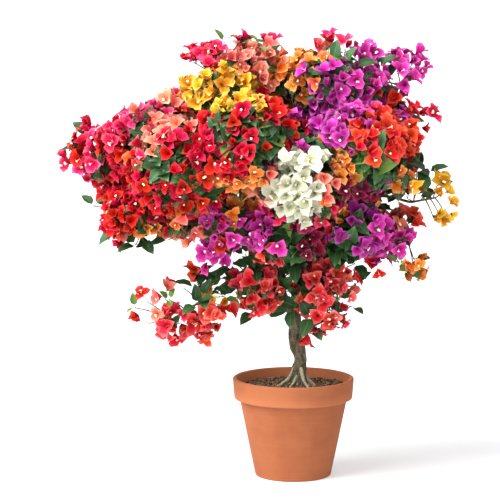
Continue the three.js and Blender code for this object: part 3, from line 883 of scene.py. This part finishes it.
def twig_finish():
    made = Finish("green_brown_twig", roughness=0.7, specular=0.3)
    where = made.place()
    base = made.tone(made.noise(where, 30), 0.4, 0.6, (92, 98, 48), (104, 78, 50))
    return made.finish(base, made.noise(where, 400), 0.0004)


def bark_finish():
    """Olive-grey bark with fine scales, darker in its furrows and with pale and green patches of lichen."""
    made = Finish("olive_grey_bark", roughness=0.88, specular=0.2)
    where = made.place()
    furrows = made.noise(made.stretched(where, (1, 1, 0.35)), 160, 6, 0.7)
    base = made.tone(furrows, 0.36, 0.62, (48, 42, 32), (112, 104, 84))
    pale = made.tone(made.noise(where, 45, 3), 0.52, 0.68, base, (140, 136, 116), 0.6)
    green = made.tone(made.noise(where, 28, 2), 0.5, 0.66, pale, (92, 94, 60), 0.5)
    return made.finish(green, furrows, 0.002)


def root_finish():
    made = Finish("pale_root", roughness=0.85, specular=0.2)
    grain = made.noise(made.place(), 260, 5)
    base = made.tone(grain, 0.35, 0.65, (122, 112, 88), (196, 188, 160))
    return made.finish(base, grain, 0.001)


def clay_finish():
    """Matte clay: mottled, with faint rings from the wheel and pale salts, and paler inside the rim, where
    painted light lifts the inner wall against the crown's shade.
    """
    made = Finish("matte_clay", roughness=0.86, specular=0.22)
    where = made.place()
    fine = made.noise(where, 420, 4, 0.7)
    rings = made.noise(made.stretched(where, (0.2, 0.2, 9)), 22, 3)
    mottled = made.tone(made.noise(where, 9, 3), 0.35, 0.65, (149, 84, 52), (161, 95, 61))
    ringed = made.tone(rings, 0.4, 0.6, mottled, (138, 75, 46), 0.14)
    radius = made.vector("LENGTH", made.vector("MULTIPLY", where, (1, 1, 0)), output="Value")
    height = made.node("ShaderNodeSeparateXYZ", {0: where}).outputs[2]
    # Painted light: the inner wall above the soil is painted paler, against the shade that the crown casts
    # there.
    in_rim = made.ramp(radius, (INSIDE_RIM + 2) * MM, (POT_RIM - 2) * MM, 1, 0)
    inside = made.times(in_rim, made.ramp(height, COLLAR_FOOT * MM, (COLLAR_FOOT + 3) * MM))
    painted_light_inside_rim = made.mix(inside, ringed, (196, 122, 82))
    speckled = made.tone(fine, 0.62, 0.78, painted_light_inside_rim, (184, 128, 97), 0.35)
    return made.finish(speckled, made.plus(made.times(rings, 0.45), made.times(fine, 0.25)), 0.0012)


def soil_finish(name, dark, light):
    made = Finish(name, roughness=0.95, specular=0.15)
    where = made.place()
    grain = made.noise(where, 380, 6, 0.75)
    base = made.tone(made.plus(grain, made.noise(where, 120, 2)), 0.84, 1.16, dark, light)
    return made.finish(base, grain, 0.002)


# The pot, its soil and what lies on it.
def rounded(corners, steps=7):
    """A profile of (r, z, radius) corners, each replaced by an arc of that radius."""
    profile = []
    for i, (r, z, radius) in enumerate(corners):
        here = np.array((r, z), float)
        if radius == 0:
            profile.append(here)
            continue
        before = unit(np.array(corners[i - 1][:2]) - here)
        after = unit(np.array(corners[i + 1][:2]) - here)
        cut = radius / math.tan(math.acos(np.clip(np.dot(before, after), -1, 1)) / 2)
        for step in range(steps + 1):
            profile.append(bend(here + before * cut, here, here + after * cut, step / steps))
    return profile


def turned_shape(profile, sides, waver=0.0):
    """A closed shape turned about +Z from a profile that starts and ends on the axis."""
    rings = profile[1:-1]
    points = []
    for r, z in rings:
        for angle in np.arange(sides) * 2 * math.pi / sides:
            sway = waver * noise.noise(Vector((2 * math.cos(angle), 2 * math.sin(angle), z * 0.02)))
            points.append(((r + sway) * math.cos(angle), (r + sway) * math.sin(angle), z))
    first, last = len(points), len(points) + 1
    points += [(0, 0, profile[0][1]), (0, 0, profile[-1][1])]
    faces = wall(len(rings), sides)
    end = (len(rings) - 1) * sides
    for j in range(sides):
        following = (j + 1) % sides
        faces += [(first, following, j), (last, end + j, end + following)]
    return np.array(points, float), np.array(faces), None


def make_pot():
    corners = [
        (0, 0, 0),
        (POT["base"], 0, 4),
        (POT["shoulder"] - 1, COLLAR_FOOT + 1, 3.2),
        (POT["collar_foot"], COLLAR_FOOT + 1.5, 4.5),
        (POT_RIM - 0.4, POT_HEIGHT, 4.2),
        (INSIDE_RIM, POT_HEIGHT, 3.4),
        (INSIDE_RIM - 3, SOIL_TOP - 14, 6),
        (POT["shoulder"] - POT["wall"], COLLAR_FOOT - 8, 4),
        (POT["base"] - POT["wall"], POT["floor"], 5),
        (0, POT["floor"], 0),
    ]
    piece("clay_pot", [turned_shape(rounded(corners), 160, 0.5)], clay_finish(), "clay", ["pot"])


def soil_height(x, y):
    """How high the soil lies over its level: lumps, a rise to the trunk, and a sunk edge."""
    from_trunk = math.hypot(x - TRUNK_X, y)
    from_middle = math.hypot(x, y)
    scale = SOIL["lump_scale"]
    lumps = SOIL["lumps"] * noise.fractal(Vector((x * scale, y * scale, 3.0)), 1.0, 2.0, 4)
    rise = SOIL["rise"] * math.exp(-((from_trunk / SOIL["rise_reach"]) ** 2))
    return lumps + rise - SOIL["sinks"] - SOIL["edge_sinks"] * (from_middle / SOIL["edge"]) ** 8


def make_soil():
    edge = INSIDE_RIM - 2.4
    profile = [(edge * i / SOIL["rings"], SOIL_TOP) for i in range(SOIL["rings"] + 1)]
    profile += [
        (edge, SOIL_TOP - 12),
        (POT["shoulder"] - POT["wall"] - 1, COLLAR_FOOT - 8),
        (POT["base"] - POT["wall"] - 1, POT["floor"] + 0.5),
        (0, POT["floor"] + 0.5),
    ]
    points, faces, _ = turned_shape(profile, SOIL["sides"])
    for i in np.flatnonzero(points[:, 2] == SOIL_TOP):
        points[i, 2] += soil_height(*points[i, :2])
    soil = soil_finish("dark_soil", (34, 27, 22), (128, 102, 80))
    piece("potting_soil", [(points, faces[:, ::-1], None)], soil, "soil", ["soil"])


def lump(random):
    """A rough grain: an icosahedron with its corners pushed in and out."""
    golden = (1 + math.sqrt(5)) / 2
    corners = []
    for a in (-1, 1):
        for b in (-golden, golden):
            corners += [(0, a, b), (a, b, 0), (b, 0, a)]
    points = np.array(corners) / math.hypot(1, golden)
    faces = []
    for a in range(12):
        for b in range(a + 1, 12):
            for c in range(b + 1, 12):
                sides = [np.linalg.norm(points[i] - points[j]) for i, j in ((a, b), (b, c), (a, c))]
                if max(sides) < 1.1:
                    normal = np.cross(points[b] - points[a], points[c] - points[a])
                    faces.append((a, b, c) if np.dot(normal, points[a]) > 0 else (a, c, b))
    points = points * (1 + LUMPS["rough"] * (random.random_sample((12, 1)) - 0.5))
    return points, np.array(faces), None


def on_soil(random, count, widest):
    """Places on the soil, evenly spread and outside the trunk's foot."""
    spots = []
    while len(spots) < count:
        angle = 2 * math.pi * random.random_sample()
        r = widest * math.sqrt(random.random_sample())
        x, y = r * math.cos(angle), r * math.sin(angle)
        if math.hypot(x - TRUNK_X, y) > SOIL["clear"]:
            spots.append((x, y, SOIL_TOP + soil_height(x, y)))
    return np.array(spots)


def scatter_lumps(name, count, largest, material, slot, seed):
    """Lumps of several kinds on the soil, most of them small."""
    random = np.random.RandomState(seed)
    parts = []
    smallest, kinds = LUMPS["smallest"], LUMPS["kinds"]
    for _ in range(kinds):
        template = lump(random)
        places = on_soil(random, count // kinds, LUMPS["within"])
        turns = random.normal(size=places.shape)
        axes = unit(random.normal(size=places.shape) * 0.5 + UP)
        sizes = smallest + (largest - smallest) * random.random_sample(len(places)) ** 3
        parts.append(copies(template, places, axes, turns, sizes))
    piece(name, parts, material, slot)


def make_soil_cover():
    crumb = soil_finish("soil_crumb", (36, 28, 22), (158, 130, 104))
    scatter_lumps("soil_crumbs", material=crumb, slot="soil", seed=5, **CRUMBS)
    grain = soil_finish("pale_grain", (168, 156, 132), (224, 216, 196))
    scatter_lumps("perlite_grains", material=grain, slot="perlite", seed=6, **GRAINS)
    random = np.random.RandomState(7)
    spots = on_soil(random, FIBRES["count"], FIBRES["within"])
    angles = 2 * math.pi * random.random_sample(len(spots))
    lengths = FIBRES["length"] + FIBRES["spread"] * random.random_sample(len(spots))
    heading = np.stack((np.cos(angles), np.sin(angles), 0.25 * random.normal(size=len(spots))), axis=1)
    ends = spots + heading * lengths[:, None]
    middles = (spots + ends) / 2 + random.normal(size=spots.shape) + UP * FIBRES["lift"]
    fibres = tubes(np.stack((spots + UP, middles, ends + UP), axis=1), [FIBRES["radii"]] * len(spots), 4)
    piece("bark_fibres", [fibres], soil_finish("bark_fibre", (86, 60, 38), (150, 112, 74)), "soil")


# The woody frame.
def barked(limbs, sides, steps, depth, size):
    """Tapering limbs along their stations, with furrows and knots raised out of the bark."""
    parts = []
    for stations in limbs:
        path, radii = zip(*[curve_point(stations, i / steps) for i in range(steps + 1)])
        points, faces, _ = tubes([path], [radii], sides)
        a, b, c = (points[faces[:, i]] for i in range(3))
        normals = np.zeros_like(points)
        for i in range(3):
            np.add.at(normals, faces[:, i], np.cross(b - a, c - a))
        lifts = []
        for x, y, z in points:
            furrow = noise.fractal(Vector((x / size, y / size, z / size * 0.3)), 0.9, 2.1, 4)
            knot = noise.noise(Vector((x / size / 3, y / size / 3, z / size / 4 + 9)))
            lifts.append(depth * (furrow + 0.9 * knot))
        parts.append((points + unit(normals) * np.array(lifts)[:, None], faces, None))
    return parts


def root_paths(kind, seed):
    """The surface roots of a kind, by the source's rule."""
    random = stream(seed)
    paths = []
    for i in range(kind["count"]):
        angle = ((i + 0.6 * next(random)) / kind["count"]) * 2 * math.pi
        reach = kind["spread"] * between(random, 0.8, 1.2)
        top = kind["height"] * between(random, 0.7, 1.2)
        bent = 0.5 * (next(random) - 0.5)
        thick = kind["thick"]
        path = []
        for share, height, radius, turn in (
            (0.2, top, thick, 0),
            (0.42, top * 0.5, thick * 0.8, 0.3),
            (0.7, top * 0.17, thick * 0.6, 0.8),
            (1, -4, kind["thin"], 1.6),
        ):
            at = angle + bent * turn
            x, y = TRUNK_X + math.cos(at) * reach * share, math.sin(at) * reach * share
            path.append((x, y, SOIL_TOP + height, radius))
        paths.append(path)
    return paths


def make_wood():
    bark = bark_finish()
    trunk = barked([TRUNK], sides=48, steps=150, depth=1.6, size=7)
    piece("trunk_bark", trunk, bark, "bark", ["trunk"])
    roots = root_paths(ROOTS, 11) + root_paths(FINE_ROOTS, 12)
    piece("surface_roots", barked(roots, sides=12, steps=22, depth=0.5, size=4), root_finish(), "root")
    leaders = barked(LEADERS.values(), sides=20, steps=90, depth=0.9, size=5)
    piece("leaders_bark", leaders, bark, "bark", ["leader_left", "leader_right"])
    stations = {
        "bough_" + name: bough_stations(name, index)
        for index, name in enumerate(MASSES)
        if name not in CLOSE
    }
    boughs = barked(stations.values(), sides=10, steps=30, depth=0.5, size=4)
    piece("boughs_bark", boughs, bark, "bark", stations)


# The foliage and bloom.
def colour_of(place, random):
    """The colour of bloom at a place, by the patch that its sight line meets."""
    x, z = seen(place)
    behind = min(1.0, max(0.0, (place[1] - BACK_FROM) / BACK_OVER))
    if behind:
        drift = noise.noise_vector(Vector(place) * DRIFT_SCALE)
        x += behind * BACK_DRIFT * 2 * drift.x
        z += behind * BACK_DRIFT * drift.z
    x += PATCH_BLUR * (next(random) - 0.5)
    z += PATCH_BLUR * (next(random) - 0.5)
    far = np.hypot(PATCH_X - x, PATCH_Z - z) - PATCH_SIZE
    far[WHITE_ROWS] = np.inf
    order = [PATCH_ROWS[i][0] for i in far.argsort()]
    if next(random) < MIXED and order[0] not in LEAFLESS:
        return next(name for name in order if name != order[0] and name not in LEAFLESS)
    return order[0]


def off_white(place):
    """How far from the patches of white bloom the camera sees a place that is in front."""
    x, z = seen(place)
    far = np.hypot(PATCH_X[WHITE_ROWS] - x, PATCH_Z[WHITE_ROWS] - z) - PATCH_SIZE[WHITE_ROWS]
    return far.min() if place[1] < WHITE_FRONT else math.inf


class Crown:
    """Everything that grows: twigs of several thicknesses, leaves, and flowers by colour."""

    def __init__(self):
        self.shoots = []
        self.twigs = []
        self.stalks = []
        self.leaves = []
        self.flowers = {}
        self.taken = {}

    def room_for(self, place, room):
        """Whether no flower is within the room of a place. If so, the place is taken."""
        key = tuple(int(v // ROOM_CELL) for v in place)
        for cell in itertools.product(*((v - 1, v, v + 1) for v in key)):
            if any(np.linalg.norm(place - other) < room for other in self.taken.get(cell, ())):
                return False
        self.taken.setdefault(key, []).append(place)
        return True

    def leaf(self, at, heading, up, length, young):
        heading = unit(heading)
        if off_white(at + heading * length / 2) < STRAY:
            return
        foot = at + heading * LEAF["stalk"]
        self.stalks.append((at, (at + foot) / 2 + UP * LEAF["lift"], foot))
        self.leaves.append((foot, heading, up, length, young))

    def spray_leaves(self, end, aim, count, allowed, random, size=1.0, young=YOUNG_SHARE):
        """Leaves on a twig's end, fanned out round its aim."""
        side = level_side(aim)
        phase = ANY_TURN * next(random)
        for i in range(count):
            heading = turned(side, aim, phase + GOLDEN_ANGLE * i) + aim * between(random, *FAN["onward"])
            length = size * (LEAF["length"] + LEAF["spread"] * next(random))
            if allowed(end + unit(heading) * length):
                up = unit(aim + FAN["level"] * UP + FAN["level"] * chance(random))
                self.leaf(end, heading, up, length, next(random) < young)

    def spray(self, node, facing, kind, count, allowed, random, room=FLOWER_ROOM):
        """A cluster of flowers on thin stalks round a twig's end, each facing outwards."""
        side = level_side(facing)
        other = np.cross(facing, side)
        phase = ANY_TURN * next(random)
        size = BLOOM_SIZES.get(kind, 1.0)
        for i in range(count):
            spread = math.radians(between(random, *STALK_LEANS) if i else FIRST_LEAN * next(random))
            around = phase + GOLDEN_ANGLE * i
            lean = side * math.cos(around) + other * math.sin(around)
            heading = facing * math.cos(spread) + lean * math.sin(spread)
            length = size * (SPRAY["stalk"] + SPRAY["stalk_spread"] * next(random))
            place = node + heading * length
            ways = {
                "stalk": heading,
                "spray": facing,
                "crown": unit((place - CROWN["heart"]) / CROWN["half"]),
                "front": FACING,
                "chance": chance(random),
            }
            axis = unit(sum(FLOWER_AIM[name] * way for name, way in ways.items()))
            grown = size * between(random, *FLOWER_SIZES)
            off = off_white(place)
            out_of_zone = off > STRAY if kind == "white" else off < CLEAR
            if out_of_zone or not allowed(place, FULL) or not self.room_for(place, room * size):
                continue
            self.flowers.setdefault(kind, []).append((place, axis, grown))
            sunk = axis * SPRAY["sinks_in"]
            middle = node + heading * length * 0.5 - sunk + facing * SPRAY["bows"]
            self.stalks.append((node, middle, place + sunk))

    def grow(self, start, tip, thick):
        """A twig that arches a little between two places, as a function of the share along it."""
        at = arch(start, tip, SHOOT["arch"])
        self.shoots.append((start, at(1 / 3), at(2 / 3), tip, thick))
        return at

    def mass(self, name, index, entry):
        """One mass of foliage, from the end of its bough."""
        inside = own_space(index)
        random = stream(1000 + 77 * index)
        centre, half = CENTRES[index], HALVES[index]
        heart = centre - (entry - centre) * STEM["past"]
        self.shoots.append((entry, (entry * 2 + heart) / 3, (entry + heart * 2) / 3, heart, STEM["radius"]))
        for kind, *spots in SPRIGS.get(name, ()):
            for x, z, flowers, leaves in spots:
                off_middle = np.hypot((x - centre[0]) / half[0], (z - centre[2]) / half[2])
                depth = centre[1] - half[1] * SPRIG["front"] * math.sqrt(max(0, 1 - off_middle**2))
                self.sprig(placed(x, z, depth), kind, flowers, leaves, entry, heart, random)

        def allowed(place, ease=1.0):
            return inside(place, ease) and (name in OWN_OUTLINE or in_outline(place))

        count = round(MASSES[name].shoots * FINER * AIRY.get(name, 1))
        for k in range(count):
            out = outward(k, count, index)
            share = STEM["bare"] + (1 - STEM["bare"]) * ((k * GOLDEN_SHARE) % 1)
            start = entry + (heart - entry) * share
            reach = REACH["tip"] - REACH["spread"] * next(random)
            while reach > REACH["least"] and not allowed(centre + out * half * reach):
                reach -= REACH["step"]
            if reach > REACH["least"]:
                tip = centre + out * half * reach - out * SPRAY["room"]
                self.shoot(start, tip, unit(out + FACING), allowed, random)

    def shoot(self, start, tip, facing, allowed, random):
        """One shoot, with its leaves, side twigs and sprays."""
        length = np.linalg.norm(tip - start)
        open_to = np.linalg.norm((tip + facing * SPRAY["room"] - CENTRES) / HALVES, axis=1).min()
        bloom = min(1.0, max(0.0, (open_to - DEEP) / (SHELL - DEEP)))
        if length < SHOOT["least"] or (not bloom and next(random) > HIDDEN_SHARE):
            return
        way = (tip - start) / length
        across = level_side(way)
        at = self.grow(start, tip, SHOOT["thick"])
        turn = ANY_TURN * next(random)
        for i, share in enumerate(LEAVES_AT):
            heading = turned(across, way, turn + GOLDEN_ANGLE * i) + way * SHOOT["onward"]
            if allowed(at(share) + heading * SHOOT["leaf_room"]):
                up = unit(UP + facing + chance(random))
                size = LEAF["length"] + LEAF["spread"] * next(random)
                self.leaf(at(share), heading, up, size, next(random) < YOUNG_SHARE)
        ends = [(tip, facing, SPRAY["flowers"])]
        for i, share in enumerate(SIDE_TWIGS_AT):
            out = turned(across, way, turn + SIDE_TWIG["turn"] + math.pi * i)
            heading = unit(out + way * SIDE_TWIG["onward"] + facing * SIDE_TWIG["outward"])
            end = at(share) + heading * SIDE_TWIG["length"] * between(random, 0.7, 1.3)
            if allowed(end):
                self.twigs.append((at(share), (at(share) + end) / 2 + UP * SIDE_TWIG["lift"], end))
                ends.append((end, unit(heading + facing), SPRAY["side_flowers"]))
        for end, aim, flowers in ends:
            bloom_at = end + aim * SPRAY["reach"]
            kind = "white" if off_white(bloom_at) < STRAY else colour_of(bloom_at, random)
            if kind == "leaf" or (kind not in LEAFLESS and next(random) < LEAFY_SHARE):
                self.spray_leaves(end, aim, SPRAY["leaves"], allowed, random)
                continue
            number = round(flowers * bloom * between(random, 0.5, 1.5))
            if kind == "white":
                number *= WHITE_MORE
            else:
                self.spray_leaves(end, aim, 1 + (next(random) < SECOND_LEAF), allowed, random)
            self.spray(end, aim, kind, number, allowed, random)

    def sprig(self, end, kind, flowers, leaves, entry, heart, random):
        """A shoot that stands out to a place of its own, with its flowers and leaves."""
        along = heart - entry
        share = np.dot(end - entry, along) / np.dot(along, along) - SPRIG["below"]
        start = entry + along * min(1.0, max(0.1, share))
        way = unit(end - start)
        aim = unit(way + FACING * SPRIG["facing"])
        tip = end - aim * (SPRIG["room"] if flowers else 0)
        at = self.grow(start, tip, SPRIG["thick"])
        self.spray(tip, aim, kind, flowers, anywhere, random, FLOWER_ROOM * SPRIG["close"])
        leaf_aim = unit(way + FACING * SPRIG["leaves_facing"])
        size, young = (SPRIG["young"], 1) if kind == "young" else (SPRIG["leaf"], YOUNG_SHARE)
        self.spray_leaves(tip, leaf_aim, min(leaves, SPRIG["at_tip"]), anywhere, random, size, young)
        for i in range(1, leaves - SPRIG["at_tip"] + 1):
            node = at(SPRIG["top"] - SPRIG["leaf_step"] * i)
            self.spray_leaves(node, leaf_aim, 1, anywhere, random, size, young)

    def heart_leaves(self, top, seed):
        """Leafy shoots that fan out of a leader's top and close the crown's heart."""
        random = stream(seed)
        count = HEART_LEAVES["shoots"]
        for k in range(count):
            way = unit(outward(k, count, seed) + UP * HEART_LEAVES["rise"])
            tip = top + way * (HEART_LEAVES["length"] + HEART_LEAVES["spread"] * next(random))
            at = self.grow(top, tip, SHOOT["thick"])
            self.spray_leaves(tip, way, HEART_LEAVES["at_tip"], anywhere, random)
            self.spray_leaves(at(0.7), way, HEART_LEAVES["lower"], anywhere, random)

    def leader_leaves(self, stations, seed):
        """Short leafy shoots all the way up a leader."""
        random = stream(seed)
        kind = LEADER_LEAVES
        for k in range(kind["shoots"]):
            height = kind["from"] + (kind["to"] - kind["from"]) * k / kind["shoots"]
            start = point_on(stations, max(height, stations[0][2] + 2))
            around = k * GOLDEN_ANGLE
            flat = (math.cos(around), math.sin(around) - kind["frontward"])
            way = unit(np.array((*flat, 0.9 * next(random) - 0.5)))
            tip = start + way * (kind["length"] + kind["spread"] * next(random))
            self.grow(start, tip, SHOOT["thick"] * kind["thin"])
            aim = unit(way - UP * kind["droop"])
            self.spray_leaves(tip, aim, kind["leaves"], anywhere, random, kind["size"], 0)


# Each colour's slot, and its colours at the heart, towards the tip and along the rim. The deeper heart colour
# is partly painted shade in the cup, and the pale rim colour is a painted highlight and glow of light through
# the edge.
BLOOM_FINISHES = {
    "red": ("bract_red", (166, 0, 12), (232, 0, 22), (255, 96, 108)),
    "scarlet": ("bract_red", (214, 18, 8), (252, 54, 34), (255, 150, 130)),
    "crimson": ("bract_red", (216, 4, 50), (250, 34, 94), (255, 156, 176)),
    "rose": ("bract_red", (218, 14, 28), (255, 62, 60), (255, 190, 182)),
    "wine": ("bract_magenta", (88, 0, 26), (150, 18, 66), (204, 90, 124)),
    "pink": ("bract_pink", (232, 8, 80), (255, 66, 130), (255, 176, 200)),
    "coral": ("bract_coral", (252, 96, 74), (255, 146, 124), (255, 214, 202)),
    "orange": ("bract_orange", (252, 104, 10), (255, 158, 64), (255, 216, 170)),
    "yellow": ("bract_yellow", (255, 158, 4), (255, 208, 54), (255, 240, 160)),
    "magenta": ("bract_magenta", (192, 6, 128), (238, 66, 184), (252, 160, 224)),
    "purple": ("bract_purple", (166, 6, 128), (212, 58, 178), (242, 156, 226)),
    "white": ("bract_white", (196, 202, 150), (246, 242, 224), (255, 252, 244)),
}


def make_twigs(crown):
    twig = twig_finish()
    radii = [np.linspace(1, SHOOT["thin"] / SHOOT["thick"], 4) * row[4] for row in crown.shoots]
    shoots = tubes([row[:4] for row in crown.shoots], radii, 4)
    side_twigs = tubes(crown.twigs, [SIDE_TWIG["radii"]] * len(crown.twigs), 3)
    piece("foliage_twigs", [shoots, side_twigs], twig, "twig", ["foliage_" + name for name in MASSES])
    stalks = tubes(crown.stalks, [STALK_RADII] * len(crown.stalks), 3)
    piece("foliage_stalks", [stalks], twig, "twig")


def make_leaves(crown, random):
    for young, name, slot, finish in (
        (False, "foliage_leaves", "leaf", leaf_finish("dark_leaf", (12, 46, 20), (46, 94, 44))),
        (True, "foliage_young_leaves", "young_leaf",
         leaf_finish("young_leaf", (70, 108, 38), (112, 146, 58))),
    ):
        rows = [row[:4] for row in crown.leaves if row[4] == young]
        parts = []
        for kind in range(len(LEAF_KINDS)):
            at, heading, up, length = columns(rows[kind::len(LEAF_KINDS)])
            cells = random.randint(0, MAP_CELLS**2, len(at))
            parts.append(copies(leaf(kind), at, square_to(heading, up), heading, length, cells))
        piece(name, parts, finish, slot)


def make_bloom(crown, random):
    hearts = []
    for bloom, (slot, *colours) in BLOOM_FINISHES.items():
        parts = []
        for kind in range(len(FLOWER_KINDS)):
            at, axis, size = columns(crown.flowers[bloom][kind::len(FLOWER_KINDS)])
            turn = random.normal(size=at.shape)
            cells = random.randint(0, MAP_CELLS**2, len(at))
            parts.append(copies(flower(kind), at, axis, turn, size, cells))
            if FLORETS_OPEN[kind]:
                hearts.append(copies(florets(kind), at, axis, turn, size))
        piece("bloom_" + bloom, parts, bract_finish("bract_" + bloom, *colours), slot)
    piece("bloom_florets", hearts, floret_finish(), "floret")


def make_crown():
    crown = Crown()
    for index, (name, mass) in enumerate(MASSES.items()):
        if name in CLOSE:
            entry = point_on(LEADERS[mass.leader], mass.height)
        else:
            entry = np.array(bough_stations(name, index)[-1][:3])
        crown.mass(name, index, entry)
    for seed, stations in enumerate(LEADERS.values()):
        crown.leader_leaves(stations, 300 + seed)
        crown.heart_leaves(np.array(stations[-1][:3], float), 310 + seed)
    random = np.random.RandomState(21)
    make_twigs(crown)
    make_leaves(crown, random)
    make_bloom(crown, random)


# The stage, the light and the camera.
FLOOR = {"half": 400.0, "grey": 0.55, "glow": 0.4}  # half in metres
SKY_STRENGTH = 0.8
# Each light: its strength, how many degrees across it looks, and which way it shines from.
SUNS = {"soft_key": (6.3, 45, (-1.1, -0.6, 1.5)), "front_fill": (1.6, 90, (-0.9, -0.9, 0.25))}


def make_stage():
    half = FLOOR["half"]
    mesh = bpy.data.meshes.new("studio_floor")
    corners = [(-half, -half, 0), (half, -half, 0), (half, half, 0), (-half, half, 0)]
    mesh.from_pydata(corners, [], [(0, 1, 2, 3)])
    floor = in_scene("studio_floor", mesh)
    made = Finish("pale_floor", roughness=0.9, specular=0.1)
    made.shader.inputs["Base Color"].default_value = (FLOOR["grey"], FLOOR["grey"], FLOOR["grey"], 1)
    made.shader.inputs["Emission Color"].default_value = (1, 1, 1, 1)
    made.shader.inputs["Emission Strength"].default_value = FLOOR["glow"]
    mesh.materials.append(made.material)

    world = bpy.data.worlds.new("pale_studio")
    world.use_nodes = True
    background = world.node_tree.nodes["Background"]
    background.inputs["Color"].default_value = (1, 1, 1, 1)
    background.inputs["Strength"].default_value = SKY_STRENGTH
    bpy.context.scene.world = world

    for name, (strength, across, source) in SUNS.items():
        lamp = bpy.data.lights.new(name, "SUN")
        lamp.energy = strength
        lamp.angle = math.radians(across)
        in_scene(name, lamp).rotation_euler = Vector(source).to_track_quat("Z", "Y").to_euler()

    lens = bpy.data.cameras.new("camera")
    lens.lens = LENS
    lens.sensor_width = SENSOR
    lens.clip_end = 1000
    camera = in_scene("camera", lens)
    camera.location = EYE * MM
    camera.rotation_euler = (math.radians(90 - PITCH), 0, 0)
    bpy.context.scene.camera = camera
    bpy.context.scene.view_settings.view_transform = "Standard"


make_stage()
make_pot()
make_soil()
make_soil_cover()
make_wood()
make_crown()
